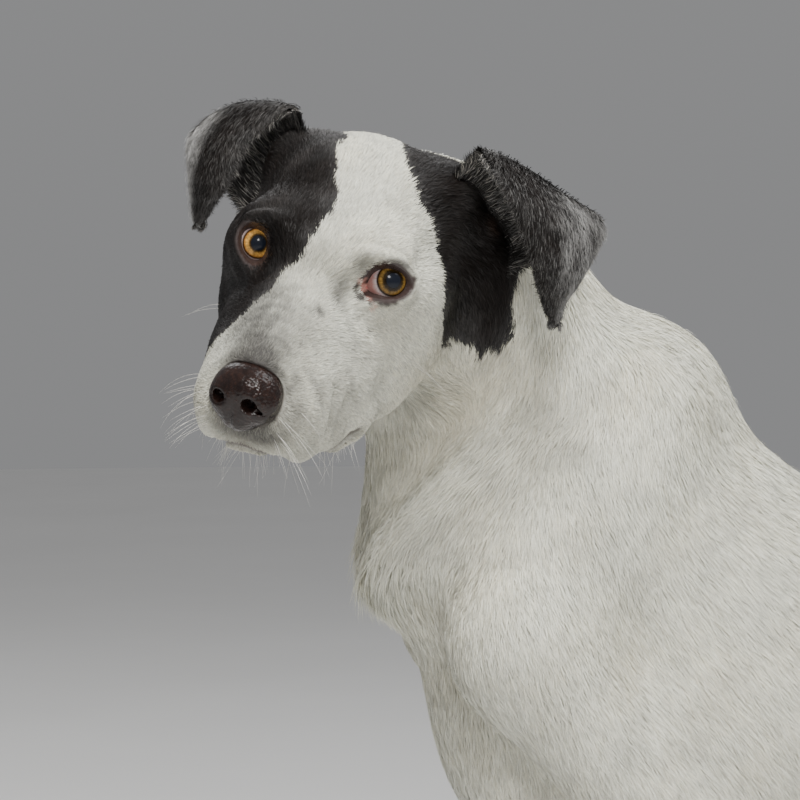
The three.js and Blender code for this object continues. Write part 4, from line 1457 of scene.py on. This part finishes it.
def body_coat(skin, uv, off_field, rng):
    """Every tuft that grows from the head, trunk, legs and tail."""
    points, triangles, normals, lie = skin
    h = to_head(points)
    length, width, height, dense = coat_plan(points, h, normals)
    dense = np.where(off_field | bare(points, h), 0, dense)
    chosen, shares = scatter(points, triangles, dense, rng)
    plan = columns_of(length, width, height)
    place, normal, course, plan = (
        blend_corners(values, triangles, chosen, shares) for values in (points, normals, lie, plan)
    )
    h = to_head(place)
    keep = ~bare(place, h)
    place, normal, course, plan, h = (values[keep] for values in (place, normal, course, plan, h))
    chosen, shares = chosen[keep], shares[keep]
    count = len(place)
    part = part_of(place, np.zeros(count, bool))
    root, tip, dark = hair_tones(place, h, np.zeros(count, bool), rng)
    lock = 0.07 * waves(place, 14, 31) + 0.07 * waves(place, 5, 32)
    stray = (rng.random(count) < 0.03) * rng.random(count)
    vary = rng.uniform(0.7, 1.2, count)
    roots = {
        "place": place,
        "normal": unit(normal),
        "course": unit(course),
        "length": plan[:, 0] * vary,
        "width": plan[:, 1] * rng.uniform(0.8, 1.2, count),
        "height": plan[:, 2] * rng.uniform(0.45, 1.0, count) + 1.8 * stray * plan[:, 0] / 17,
        "swing": 0.16,
    }
    roots["course"] = unit(roots["course"] + np.cross(roots["normal"], roots["course"]) * lock[:, None])
    tree = BVHTree.FromPolygons(points.tolist(), triangles.tolist(), all_triangles=True)
    rows = grow(tree, skin, roots, rng)
    rows[..., 2] = np.maximum(rows[..., 2], FLOOR + 0.1)
    corner = (uv[chosen] * shares[..., None]).sum(1)
    turn = rng.uniform(0, ROUND_TURN, count)
    region = region_of(place, h, dark, part)
    pieces = []
    for name in sorted(set(region)):
        own = np.flatnonzero(region == name)
        if len(own) > MOST_TUFTS:
            own = np.sort(rng.choice(own, MOST_TUFTS, replace=False))
        slot = "coat_black" if name == "coat_patches" else "coat_white"
        piece = tuft_piece(name, rows[own], root[own], tip[own], corner[own], turn[own])
        pieces.append((piece, slot))
    return pieces, tree


EAR_TUFTS = 32000
OUTER_SHARE = 0.62  # the share of an ear's tufts that grow on its outer face
FRINGE_SHARE = 0.24  # the share that grow along its edges
TIP_SHARE = 0.05  # the share that grow at its tip
# The pale grey on each ear's flap is partly grey hair, partly painted sheen.
FROST_EDGE = {1: 0.5, -1: 0.6}  # how far across each ear its grey begins
# How much of the ear's hair is pale there, grey hair and painted sheen together, how pale, how much is grey
# elsewhere, and inside the ear.
FROST = {1: (0.55, 0.28, 0.14, 0.22), -1: (0.8, 0.5, 0.05, 0.07)}
FROST_AND_SHEEN_WHITE = np.array([1.0, 0.98, 0.95])
PALE_HAIR = np.array([0.36, 0.34, 0.31])  # among the hair inside the ear


def ear_coat(s, skin_tree, uv, rng):
    """The ear's fur, on both faces of its sheet, with a fringe along its edges."""
    count = EAR_TUFTS
    along = 0.03 + 0.97 * rng.random(count) ** 0.9
    across = rng.random(count)
    outer = rng.random(count) < OUTER_SHARE
    fringe = rng.random(count) < FRINGE_SHARE
    across = np.where(fringe, (rng.random(count) < 0.5) * 1.0, across)
    tip_fringe = rng.random(count) < TIP_SHARE
    along = np.where(tip_fringe, 1.0, along)
    lean = np.where(outer, 1.0, -1.0)[:, None]
    d = 0.012
    place = ear_point(s, along, across)
    down = (ear_point(s, along + d, across) - ear_point(s, along - d, across)) / (2 * d)
    over = (ear_point(s, along, across + d) - ear_point(s, along, across - d)) / (2 * d)
    down, over = size(down), size(over)
    outward = (across - 0.5) * 2
    splay = 0.35 * outward + rng.normal(size=count) * 0.16 + 0.1 * waves(place, 9, 41)
    splay = np.where(fringe, 0.75 * outward + rng.normal(size=count) * 0.25, splay)
    splay = np.where(outer, splay, splay * 0.7 + rng.normal(size=count) * 0.15)
    length = np.where(outer, 6.0, 8.0) * rng.uniform(0.7, 1.3, count) * (1 + 0.1 * fringe)
    length *= np.clip(1.15 - 0.45 * along, 0.4, 1) * (1 - 0.35 * smoothstep(0.8, 1, along))
    width = np.where(outer, 0.3, 0.36) * rng.uniform(0.8, 1.2, count)
    height = np.where(outer, 1.4, 2.2) * rng.uniform(0.4, 1.1, count) + 1.8 * (rng.random(count) < 0.04)
    roll = rng.uniform(-0.4, 0.4, count)
    rows = []
    for share, rise, taper in zip((0, 0.5, 1), (0, *TUFT_RISE), (*TUFT_TAPER, 0)):
        a = along + share * length * np.cos(splay) / np.maximum(down, 20)
        c = across + share * length * np.sin(splay) / np.maximum(over, 12)
        normal = ear_normal(s, a, c) * lean
        out = (EAR_SKIN / 2 - 0.4) * np.where(fringe, 0.3, 1) + rise * height
        middle = ear_point(s, a, c) + normal * out[:, None]
        if taper == TUFT_TAPER[0]:
            course = unit(ear_point(s, a + d * np.cos(splay), c + d * np.sin(splay)) - ear_point(s, a, c))
            side = unit(np.cross(normal, course))
            side = side * np.cos(roll)[:, None] + normal * np.sin(roll)[:, None]
        offset = side * (width * taper / 2)[:, None]
        rows += [middle - offset, middle + offset] if taper else [middle]
    rows = from_head(np.stack(rows, 1).reshape(-1, 3)).reshape(-1, 5, 3)
    world = from_head(place)
    _, chosen = nearest(skin_tree, world)
    corner = uv[chosen].mean(1)
    shade = np.clip(0.8 + 0.5 * rng.random(count) ** 2 + 0.3 * waves(world, 14, 43), 0.4, 2.4)
    edge = np.exp(-np.minimum(across, 1 - across) * 9) + np.exp(-(1 - along) * 8)
    much, paleness, elsewhere, within = FROST[s]
    # Paler towards the flap's rear edge and tip: grey hair and painted sheen.
    tipped = smoothstep(0.25, 0.55, along) * smoothstep(FROST_EDGE[s] - 0.2, FROST_EDGE[s] + 0.2, across)
    frost = 0.02 + 0.05 * edge + tipped * (much + 0.3 * waves(place, 15, 44))
    frost = frost + elsewhere * rng.normal(size=count)
    frost = np.where(outer, frost, within * (1 + rng.random(count)))
    frost = np.clip(frost, 0, 1)[:, None]
    colour = between(BLACK * shade[:, None], FROST_AND_SHEEN_WHITE * paleness, frost)
    pale = (~outer & (rng.random(count) < 0.25))[:, None]
    colour = np.where(pale, PALE_HAIR, colour)
    name = "coat_ear_left" if s > 0 else "coat_ear_right"
    turn = rng.uniform(0, ROUND_TURN, count)
    # Painted shade darkens the roots and painted sheen lightens the tips.
    return tuft_piece(name, rows, colour * 0.7, colour * 1.45 + 0.004, corner, turn)


# ---------- Nose, eyes, claws and whiskers ----------

NOSE_SHIFT = 3.0  # the nostrils lie a little to the dog's right
NOSE_BACK = 60  # where the leather is cut off inside the muzzle
NOSTRILS = []
for s in SIDES:
    NOSTRILS += [
        (egg((86.5, 7.4 * s - NOSE_SHIFT, -40.5), (7, 3.3, 2.9), 1.2), 1.6),
        (limb((87, 9.5 * s - NOSE_SHIFT, -41.5), (80, 17.5 * s - NOSE_SHIFT, -44.5), 1.5, 0.6, 1), 1.2),
    ]


def leather_field(h):
    """The nose leather with its nostrils and the groove between them."""
    d = nose_field(h)
    for body, blend in NOSTRILS:
        d = -smooth_union(-d, body[0](h), blend)
    line = np.array([(88.5, 0.5, -36), (86.5, 0, -44), (84.5, 0, -50), (80, 0, -57)]) - (0, NOSE_SHIFT, 0)
    groove, place = line_distance(h, line)
    d += bell(groove, 1.0) * (0.2 + 1.5 * smoothstep(0.1, 0.4, place))
    pebble = 0.16 * np.abs(waves(h, 2.6, 51)) + 0.08 * waves(h, 1.7, 52)
    return d - 0.1 + pebble


def nose_mesh():
    low, high, cell = np.array([56.0, -21, -58]), np.array([91.0, 21, -22]), 0.6
    grid, shape = lattice(low, high, cell)
    value = np.maximum(leather_field(grid), NOSE_BACK - grid[:, 0])
    points, triangles = surface_nets(value.reshape(shape), low, cell)
    edges, _ = edges_of(triangles)
    points = points + 0.4 * (mean_of_neighbours(points, edges, len(points)) - points)
    return from_head(points), triangles


GAZE = {1: (0.76, 0.496, 0.42), -1: (0.874, 0.28, 0.397)}
IRIS_RADIUS = 7.2
PUPIL_RADIUS = 3.35
CORNEA = (0.75, 38)  # height in millimetres, and half its width in degrees


def eye_mesh(s, segments=72):
    """An eyeball with its cornea, and for each vertex its place across the iris."""
    out = np.array(GAZE[s]) / np.linalg.norm(GAZE[s])
    side = np.cross((0, 0, 1.0), out)
    side /= np.linalg.norm(side)
    up = np.cross(out, side)
    angles = np.radians(np.concatenate([np.linspace(0, 40, 34)[1:], np.linspace(40, 175, 26)[1:]]))
    turn = np.arange(segments) * 2 * np.pi / segments
    bulge = CORNEA[0] * (1 - smoothstep(0, math.radians(CORNEA[1]), angles))
    radius = EYE_RADIUS + bulge
    flat = radius * np.sin(angles)
    ring = flat[:, None, None] * (np.cos(turn)[:, None] * side + np.sin(turn)[:, None] * up)
    ring = ring + (radius * np.cos(angles))[:, None, None] * out
    points = np.vstack([[out * (EYE_RADIUS + CORNEA[0])], ring.reshape(-1, 3), [-out * EYE_RADIUS]])
    across, upward = flat[:, None] * np.cos(turn), flat[:, None] * np.sin(turn)
    iris = np.stack([across, upward, np.repeat(angles[:, None], segments, 1)], 2)
    iris = np.vstack([[[0, 0, 0]], iris.reshape(-1, 3), [[0, 0, 3.1]]])
    return from_head(points + eye_centre(s)), shell_triangles(len(angles), segments), iris


def blob(centre, half, rings=12, segments=18):
    """A small egg shape in the head's frame, centred on a point and with half its sizes along three axes."""
    a = np.linspace(0, np.pi, rings + 1)[1:-1, None]
    turn = np.arange(segments) * 2 * np.pi / segments
    ring = [np.repeat(np.cos(a), segments, 1), np.sin(a) * np.cos(turn), np.sin(a) * np.sin(turn)]
    ring = np.stack(ring, 2)
    points = np.vstack([[[1, 0, 0]], ring.reshape(-1, 3), [[-1, 0, 0]]])
    return points @ np.array(half) + centre, shell_triangles(len(a), segments)


CARUNCLE = {1: (-13.6, -7.0), -1: (-15.2, -4.6)}  # its place towards the ear and up, round the eye


def caruncle(s):
    """The pink pad in the inner corner of the eye."""
    out, side, up = eye_frame(s)
    x, y = CARUNCLE[s]
    angle = math.hypot(x, y) / 15
    direction = out * math.cos(angle) + (side * x + up * y) / math.hypot(x, y) * math.sin(angle)
    centre = eye_centre(s) + direction * 10.9
    points, triangles = blob(centre, (direction * 1.4, side * 1.7, up * 1.4))
    return from_head(points), triangles


def tubes(lines, radii, sides=3):
    """Tapered tubes with closed ends along lines of points, as one mesh."""
    points, triangles = [], []
    for line, radius in zip(lines, radii):
        base = sum(len(p) for p in points)
        line = np.asarray(line, float)
        heading = unit(np.gradient(line, axis=0))
        across = unit(np.cross(heading, (0.3, 0.2, 1.0)))
        up = np.cross(heading, across)
        n = len(line)
        taper = radius * np.linspace(1, 0.15, n) ** 0.8
        for j in range(sides):
            turn = 2 * np.pi * j / sides
            points.append(line + (across * math.cos(turn) + up * math.sin(turn)) * taper[:, None])
        for j in range(sides):
            a, b = base + j * n, base + ((j + 1) % sides) * n
            for i in range(n - 1):
                triangles += [(a + i, b + i, b + i + 1), (a + i, b + i + 1, a + i + 1)]
        triangles += [(base, base + 2 * n, base + n), (base + n - 1, base + 2 * n - 1, base + 3 * n - 1)]
    return np.vstack(points), np.array(triangles)


def inside_room(p, margin=0.012):
    """Whether all of a line stays within the solids' box and a little more."""
    low, high = (np.array(corner) for corner in cad_bounds)
    q = placed(p)
    return ((q > low - margin) & (q < high + margin)).all() and q[:, 2].min() > 0.001


def whisker(root, direction, length, droop, rng, steps=10):
    """A whisker that bends down and back towards its tip, cut short where it would leave the room."""
    direction = np.array(direction) / np.linalg.norm(direction)
    t = np.linspace(0, 1, steps)[:, None]
    bend = np.array([-0.5, 0, -1.0]) * droop + rng.normal(size=3) * 0.08
    while True:
        line = from_head(root + direction * (t * length) + bend * (t**2 * length))
        if inside_room(line) or length < 8:
            return line
        length *= 0.9


WHISKERS = {1: 10, -1: 20}  # on each side of the muzzle
LONGEST_WHISKER = {1: 26, -1: 44}
BROW_WHISKERS = {1: 3, -1: 0}
BRISTLES = 46  # on each side, under the lips and chin


def whiskers(tree, rng):
    lines, radii = [], []
    for s in SIDES:
        lips = smooth_line(LIP_LINE * (1, s, 1), 4)
        for n in range(WHISKERS[s]):
            row, column = n % 4, n // 4
            root = np.array([76 - 5.2 * column - 1.5 * row, (15 + 1.1 * column) * s, -47 - 4.6 * row])
            root = root + rng.normal(size=3) * 0.9
            ahead, outward = 0.55 - 0.13 * column + 0.15 * rng.normal(), 1.0 + 0.1 * rng.normal()
            out = (ahead, s * outward, -0.35 - 0.12 * row)
            lines.append((root, out, rng.uniform(14, LONGEST_WHISKER[s]), rng.uniform(0.2, 0.6), 0.12))
        for _ in range(BRISTLES):
            along = rng.random() ** 0.9
            root = lips[int(along * (len(lips) - 1))] - (1, 0.8 * s, rng.uniform(1.5, 6))
            out = (0.1 + 0.25 * rng.normal(), 0.25 * s + 0.2 * rng.normal(), -1)
            length = rng.uniform(4, 10) if rng.random() < 0.8 else rng.uniform(12, 22)
            lines.append((root, out, length, rng.uniform(-0.1, 0.3), 0.09))
        for n in range(BROW_WHISKERS[s]):
            root = np.array([2 - 3 * n, (30 + 3 * n) * s, 17.5])
            lines.append((root, (0.6, 0.5 * s, 0.9), rng.uniform(9, 14), 0.4, 0.11))
        for n in range(2):  # on the cheek
            root = np.array([-22 - 5 * n, 52 * s, -44 - 4 * n])
            lines.append((root, (-0.2, 1.0 * s, -0.3), rng.uniform(12, 22), 0.3, 0.12))
    made = []
    for root, out, length, droop, radius in lines:
        place, _, _, _ = tree.find_nearest(from_head(root[None])[0].tolist())
        made.append(whisker(to_head(np.array(place)[None])[0], out, length, droop, rng))
        radii.append(radius)
    return tubes(made, radii)


def claw(tip, heading):
    """The middle line of a claw, which comes forward and curves down out of a toe to its tip."""
    t = np.linspace(0, 1, 7)[:, None]
    heading = np.array(heading, float) / np.linalg.norm(heading)
    return tip - heading * CLAW_LENGTH * (1 - t) + np.array([0, 0, 1.0]) * (CLAW_DROP * (1 - t**1.6))


# For each pair of feet: where the paw's middle line starts and ends, and how far its toes spread there.
FEET = (
    ((62, 62), (92, 64), 0.7, 0.95),
    ((-44, 113), (-20, 120), 0.7, 0.95),
)
CLAW_SHOWN = 5.5  # how far a claw's tip stands out of its toe
CLAW_LENGTH, CLAW_DROP, CLAW_RADIUS = 9.0, 3.4, 2.6


def claw_lines(tree):
    """The claws of all four feet, each rooted in the end of its toe."""
    lines = []
    for s in SIDES:
        for root, tip, spread, flare in FEET:
            for across in PAW_TOES:
                start = np.array([root[0], root[1] * s + across * spread, 0])
                end = np.array([tip[0], tip[1] * s + across * flare, 0])
                heading = unit((end - start)[None])[0]
                ahead = end + heading * 60 + (0, 0, FLOOR + 6)
                toe, _, _, _ = tree.ray_cast(ahead.tolist(), (-heading).tolist(), 100)
                point = np.array(toe) + heading * CLAW_SHOWN
                point[2] = FLOOR + 1.4
                lines.append(claw(point, heading - (0, 0, 0.22)))
    return lines


# ---------- Materials ----------


class Nodes:
    """A material's nodes, wired up by short calls."""

    def __init__(self, name):
        self.material = bpy.data.materials.new(name)
        self.material.use_nodes = True
        self.tree = self.material.node_tree
        self.tree.nodes.clear()
        self.shader = self.add("ShaderNodeBsdfPrincipled")
        output = self.add("ShaderNodeOutputMaterial")
        self.link(self.shader.outputs["BSDF"], output.inputs["Surface"])

    def add(self, kind, **settings):
        node = self.tree.nodes.new(kind)
        for key, value in settings.items():
            setattr(node, key, value)
        return node

    def link(self, source, target):
        self.tree.links.new(source, target)

    def put(self, socket, value):
        if isinstance(value, bpy.types.NodeSocket):
            self.link(value, socket)
        elif value is not None:
            socket.default_value = value

    def attribute(self, name, output="Color"):
        return self.add("ShaderNodeAttribute", attribute_name=name).outputs[output]

    def place(self):
        return self.add("ShaderNodeTexCoord").outputs["Object"]

    def maths(self, operation, a, b=None, clamp=False):
        node = self.add("ShaderNodeMath", operation=operation, use_clamp=clamp)
        self.put(node.inputs[0], a)
        self.put(node.inputs[1], b)
        return node.outputs[0]

    def vector(self, operation, a, b=None):
        node = self.add("ShaderNodeVectorMath", operation=operation)
        self.put(node.inputs[0], a)
        if operation == "SCALE":
            self.put(node.inputs["Scale"], b)
        else:
            self.put(node.inputs[1], b)
        return node.outputs["Value" if operation in ("LENGTH", "DOT_PRODUCT") else "Vector"]

    def noise(self, scale, detail=3.0, where=None, roughness=0.55):
        node = self.add("ShaderNodeTexNoise")
        self.put(node.inputs["Vector"], where or self.place())
        node.inputs["Scale"].default_value = scale
        node.inputs["Detail"].default_value = detail
        node.inputs["Roughness"].default_value = roughness
        return node.outputs["Fac"]

    def cells(self, scale, where=None, feature="F1"):
        node = self.add("ShaderNodeTexVoronoi", feature=feature)
        self.put(node.inputs["Vector"], where or self.place())
        node.inputs["Scale"].default_value = scale
        return node.outputs["Distance"]

    def ramp(self, value, *stops):
        """From a value to a colour or a number, by stops of place and colour."""
        node = self.add("ShaderNodeValToRGB")
        self.put(node.inputs["Fac"], value)
        elements = node.color_ramp.elements
        while len(elements) > len(stops):
            elements.remove(elements[-1])
        while len(elements) < len(stops):
            elements.new(1.0)
        for element, (at, colour) in zip(elements, stops):
            element.position = at
            grey = isinstance(colour, (int, float))
            element.color = (colour,) * 3 + (1,) if grey else (*colour, 1)
        return node.outputs["Color"]

    def mix(self, share, a, b, blend="MIX"):
        node = self.add("ShaderNodeMix", data_type="RGBA", blend_type=blend)
        self.put(node.inputs["Factor"], share)
        self.put(node.inputs["A"], a if isinstance(a, bpy.types.NodeSocket) else (*a, 1))
        self.put(node.inputs["B"], b if isinstance(b, bpy.types.NodeSocket) else (*b, 1))
        return node.outputs["Result"]

    def bump(self, height, strength, distance):
        node = self.add("ShaderNodeBump")
        node.inputs["Strength"].default_value = strength
        node.inputs["Distance"].default_value = distance
        self.link(height, node.inputs["Height"])
        self.link(node.outputs["Normal"], self.shader.inputs["Normal"])

    def finish(self, base, rough, specular):
        self.put(self.shader.inputs["Base Color"], base)
        self.put(self.shader.inputs["Roughness"], rough)
        self.put(self.shader.inputs["Specular IOR Level"], specular)
        return self.material


def hair_material(name, rough, specular, sheen):
    """Hair: its own colour from root to tip, with fine streaks and patches of tone."""
    n = Nodes(name)
    tone = n.ramp(n.noise(120, 4), (0.25, 0.86), (0.75, 1.08))
    fine = n.ramp(n.noise(1500, 2), (0.3, 0.9), (0.7, 1.06))
    base = n.mix(1.0, n.mix(1.0, n.attribute("hair"), tone, "MULTIPLY"), fine, "MULTIPLY")
    n.bump(n.noise(2200, 1), 0.15, 0.0002)
    roughness = n.ramp(n.noise(400, 2), (0.3, rough - 0.06), (0.7, rough + 0.06))
    material = n.finish(base=base, rough=roughness, specular=specular)
    n.shader.inputs["Sheen Weight"].default_value = sheen
    n.shader.inputs["Sheen Roughness"].default_value = 0.4
    return material


def skin_material():
    """Skin: its own tone, finely mottled, and glossy where it is wet."""
    n = Nodes("skin")
    flush = n.ramp(n.noise(700, 4), (0.35, 0), (0.65, 0.35))
    base = n.mix(flush, n.attribute("tone"), (0.30, 0.22, 0.19), "MULTIPLY")
    base = n.mix(1.0, base, n.ramp(n.noise(90, 3), (0.3, 0.9), (0.7, 1.07)), "MULTIPLY")
    wet = n.attribute("wet", "Fac")
    rough = n.ramp(wet, (0.0, 0.62), (1.0, 0.16))
    height = n.maths("ADD", n.cells(1300), n.noise(900, 4))
    n.bump(height, 0.35, 0.0003)
    return n.finish(base=base, rough=rough, specular=0.45)


def leather_material():
    """Nose leather: dark and wet, pebbled in small plates."""
    n = Nodes("nose_leather")
    plates = n.cells(620)
    base = n.mix(
        n.ramp(n.noise(160, 4), (0.35, 0), (0.7, 1)),
        (0.010, 0.0050, 0.0040),
        (0.028, 0.0135, 0.0100),
    )
    # Painted shade darkens the grooves between the plates.
    base = n.mix(n.ramp(plates, (0.3, 0), (0.75, 0.6)), base, (0.008, 0.005, 0.005))
    height = n.maths("SUBTRACT", n.maths("MULTIPLY", n.noise(1500, 3), 0.35), plates)
    n.bump(height, 0.45, 0.0005)
    rough = n.ramp(n.noise(300, 3), (0.3, 0.15), (0.7, 0.28))
    return n.finish(base=base, rough=rough, specular=0.4)


def eye_material(name, halo, inner, middle, outer):
    """An eye: pupil, streaked iris with a dark rim, and the white with its fine veins."""
    n = Nodes(name)
    where = n.attribute("iris", "Vector")
    flat = n.vector("MULTIPLY", where, (1, 1, 0))
    radius = n.vector("LENGTH", flat)
    split = n.add("ShaderNodeSeparateXYZ")
    n.link(where, split.inputs[0])
    round_it = n.vector("NORMALIZE", flat)
    streak_place = n.add("ShaderNodeCombineXYZ")
    parts = n.add("ShaderNodeSeparateXYZ")
    n.link(round_it, parts.inputs[0])
    n.link(n.maths("MULTIPLY", parts.outputs[0], 9.0), streak_place.inputs[0])
    n.link(n.maths("MULTIPLY", parts.outputs[1], 9.0), streak_place.inputs[1])
    n.link(n.maths("MULTIPLY", radius, 0.55), streak_place.inputs[2])
    streak = n.noise(1.3, 5, streak_place.outputs[0], 0.7)
    share = n.maths("ADD", n.maths("DIVIDE", radius, IRIS_RADIUS), n.maths("MULTIPLY", streak, 0.16))
    iris = n.ramp(
        share,
        (0.56, tuple(c * 0.04 for c in inner)),
        (halo - 0.07, tuple(c * 0.2 for c in inner)),
        (halo, inner),
        (0.88, middle),
        (0.98, outer),
        (1.07, tuple(c * 0.15 for c in outer)),
    )
    iris = n.mix(1.0, iris, n.ramp(streak, (0.3, 0.55), (0.7, 1.5)), "MULTIPLY")
    blotch = n.ramp(n.noise(0.45, 3, flat), (0.4, 0.75), (0.65, 1.2))
    iris = n.mix(1.0, iris, blotch, "MULTIPLY")
    edge = n.maths("DIVIDE", n.maths("SUBTRACT", radius, PUPIL_RADIUS - 0.15), 0.4, clamp=True)
    iris = n.mix(edge, (0.008, 0.010, 0.016), iris)
    white = n.mix(
        n.ramp(n.cells(0.5, where, "DISTANCE_TO_EDGE"), (0.0, 1), (0.06, 0)),
        (0.44, 0.42, 0.42),
        (0.42, 0.20, 0.18),
    )
    white = n.mix(n.ramp(split.outputs[2], (0.62, 0), (0.95, 0.9)), white, (0.30, 0.13, 0.11))
    rim = n.maths("DIVIDE", n.maths("SUBTRACT", radius, IRIS_RADIUS - 0.15), 0.55, clamp=True)
    base = n.mix(rim, iris, white)
    n.bump(n.noise(1.2, 2, where), 0.02, 0.0002)
    material = n.finish(base=base, rough=0.25, specular=0.1)
    n.shader.inputs["Coat Weight"].default_value = 0.28
    n.shader.inputs["Coat Roughness"].default_value = 0.015
    return material


# For each: the scale and detail of its streaks, its two colours, the scale and detail of its bumps,
# their strength and depth, and the scale of its roughness with its least and most.
PLAIN_MATERIALS = {
    "caruncle": (
        (900, 3), (0.50, 0.17, 0.15), (0.30, 0.09, 0.08), (1600, 2), (0.3, 0.0002), (800, 0.12, 0.25),
    ),
    "claw": (
        (300, 3), (0.22, 0.16, 0.11), (0.045, 0.035, 0.03), (1200, 2), (0.25, 0.0002), (500, 0.3, 0.5),
    ),
    "whisker": (
        (250, 2), (0.80, 0.78, 0.73), (0.62, 0.59, 0.53), (3000, 1), (0.1, 0.0001), (700, 0.32, 0.45),
    ),
}


def plain_material(name):
    """The wet pad in the corner of the eye, horn, or a whisker."""
    streaks, light, dark, grain, bump, (scale, least, most) = PLAIN_MATERIALS[name]
    n = Nodes(name)
    base = n.mix(n.noise(*streaks), light, dark)
    n.bump(n.noise(*grain), *bump)
    return n.finish(base=base, rough=n.ramp(n.noise(scale), (0.3, least), (0.7, most)), specular=0.5)


def floor_material():
    n = Nodes("studio_floor")
    base = n.mix(n.noise(3, 3), (0.70, 0.695, 0.685), (0.76, 0.755, 0.745))
    return n.finish(base=base, rough=0.7, specular=0.2)


# ---------- Assembly ----------


def attach(piece, material, nodes=()):
    piece.data.materials.append(material)
    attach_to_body(piece, "root")
    if nodes:
        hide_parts(*nodes)


# For each eye: where the iris's dark inner halo ends, and its inner, middle and outer colours.
IRIS_COLOURS = {
    1: (0.80, (0.13, 0.075, 0.018), (0.21, 0.12, 0.026), (0.11, 0.055, 0.013)),
    -1: (0.72, (0.42, 0.23, 0.06), (0.60, 0.31, 0.07), (0.34, 0.14, 0.03)),
}
FLESH = [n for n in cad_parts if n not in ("nose", "eye_left", "eye_right")]


def build_dog():
    """Every piece of the dog, each with its material and the solids it stands for."""
    rng = np.random.default_rng(SEED)
    hair_white = hair_material("hair_white", 0.55, 0.3, 0.1)
    hair_black = hair_material("hair_black", 0.4, 0.2, 0.0)

    skin = join_ears(mesh_object("skin", *skin_mesh()))
    points, triangles = arrays_of(skin)
    normals = vertex_normals(points, triangles)
    off_field = (skin_field(points) > 1.4) & (to_head(points)[:, 0] < -45)  # the ears
    face_off = off_field[triangles].all(1)
    uv = unwrap(points, triangles, face_off)
    lay_out(skin, uv)
    tone, wet = skin_tones(to_head(points), off_field)
    add_colour(skin, "tone", tone)
    add_values(skin, "wet", wet)
    attach(skin, skin_material(), FLESH)

    lie = coat_lie(points, triangles, normals)
    coat, tree = body_coat((points, triangles, normals, lie), uv, off_field, rng)
    for s in SIDES:
        coat.append((ear_coat(s, tree, uv, rng), "coat_black"))
    for piece, slot in coat:
        attach(piece, hair_black if slot == "coat_black" else hair_white)

    nose = mesh_object("nose_skin", *nose_mesh())
    attach(nose, leather_material(), ["nose"])
    for s, side in zip(SIDES, ("left", "right")):
        points, triangles, iris = eye_mesh(s)
        eye = mesh_object(f"eyeball_{side}", points, triangles)
        add_values(eye, "iris", iris, "FLOAT_VECTOR", "vector")
        attach(eye, eye_material(f"eye_{side}", *IRIS_COLOURS[s]), [f"eye_{side}"])
        pad = mesh_object(f"caruncle_{side}", *caruncle(s))
        attach(pad, plain_material("caruncle"))
    attach(mesh_object("whiskers", *whiskers(tree, rng)), plain_material("whisker"))
    lines = claw_lines(tree)
    attach(mesh_object("claws", *tubes(lines, [CLAW_RADIUS] * len(lines), 8)), plain_material("claw"))


# ---------- Studio ----------

TARGET = (143, 20, 474)
VIEW_AZIMUTH, VIEW_ELEVATION = 170, 3
DISTANCE = 1620
HORIZON, ZENITH = 0.26, 0.38  # strength of the plain pale surroundings
FIELD_OF_VIEW = 13.95


def look_at(thing, spot):
    thing.rotation_euler = (Vector(spot) - thing.location).to_track_quat("-Z", "Y").to_euler()


def backwards(azimuth, elevation):
    """From the target towards a camera that looks along +Y at azimuth 0."""
    a, e = math.radians(azimuth), math.radians(elevation)
    return np.array([math.sin(a) * math.cos(e), -math.cos(a) * math.cos(e), math.sin(e)])


def area_light(name, azimuth, elevation, distance, size, power, colour=(1, 1, 1)):
    data = bpy.data.lights.new(name, "AREA")
    data.shape, data.size, data.energy, data.color = "DISK", size, power, colour
    lamp = new_object(name, data)
    target = placed(TARGET)
    lamp.location = target + backwards(azimuth, elevation) * distance
    look_at(lamp, target)
    return lamp


def studio():
    """The camera, the lights, the plain surroundings and the floor."""
    data = bpy.data.cameras.new("camera")
    data.sensor_width = data.sensor_height = 36
    data.lens_unit = "FOV"
    data.angle = math.radians(FIELD_OF_VIEW)
    data.clip_end = 50
    camera = new_object("camera", data)
    camera.location = placed(np.array(TARGET) + backwards(VIEW_AZIMUTH, VIEW_ELEVATION) * DISTANCE)
    look_at(camera, placed(TARGET))
    bpy.context.scene.camera = camera

    key = area_light("key", VIEW_AZIMUTH + 10, 60, 1.9, 0.9, 48, (1, 0.995, 0.975))
    key.visible_glossy = False
    area_light("catch", VIEW_AZIMUTH + 4, 29, 1.7, 0.36, 11, (1, 0.99, 0.97))
    area_light("fill", VIEW_AZIMUTH + 80, 52, 2.2, 1.4, 20, (0.98, 0.99, 1))
    area_light("back", VIEW_AZIMUTH + 190, 45, 2.2, 1.4, 14)

    world = bpy.data.worlds.new("studio")
    bpy.context.scene.world = world
    world.use_nodes = True
    tree = world.node_tree
    background = tree.nodes["Background"]
    where = tree.nodes.new("ShaderNodeTexCoord")
    split = tree.nodes.new("ShaderNodeSeparateXYZ")
    grade = tree.nodes.new("ShaderNodeMapRange")
    grade.inputs["To Min"].default_value = HORIZON
    grade.inputs["To Max"].default_value = ZENITH
    tree.links.new(where.outputs["Generated"], split.inputs[0])
    tree.links.new(split.outputs[2], grade.inputs["Value"])
    tree.links.new(grade.outputs[0], background.inputs["Strength"])
    background.inputs["Color"].default_value = (0.98, 0.985, 1, 1)

    edge = [(6 * math.cos(a), 6 * math.sin(a), 0) for a in np.linspace(0, 2 * math.pi, 96, endpoint=False)]
    mesh = bpy.data.meshes.new("floor")
    mesh.from_pydata(edge, [], [list(range(96))])
    floor = new_object("floor", mesh)
    mesh.materials.append(floor_material())


studio()
build_dog()
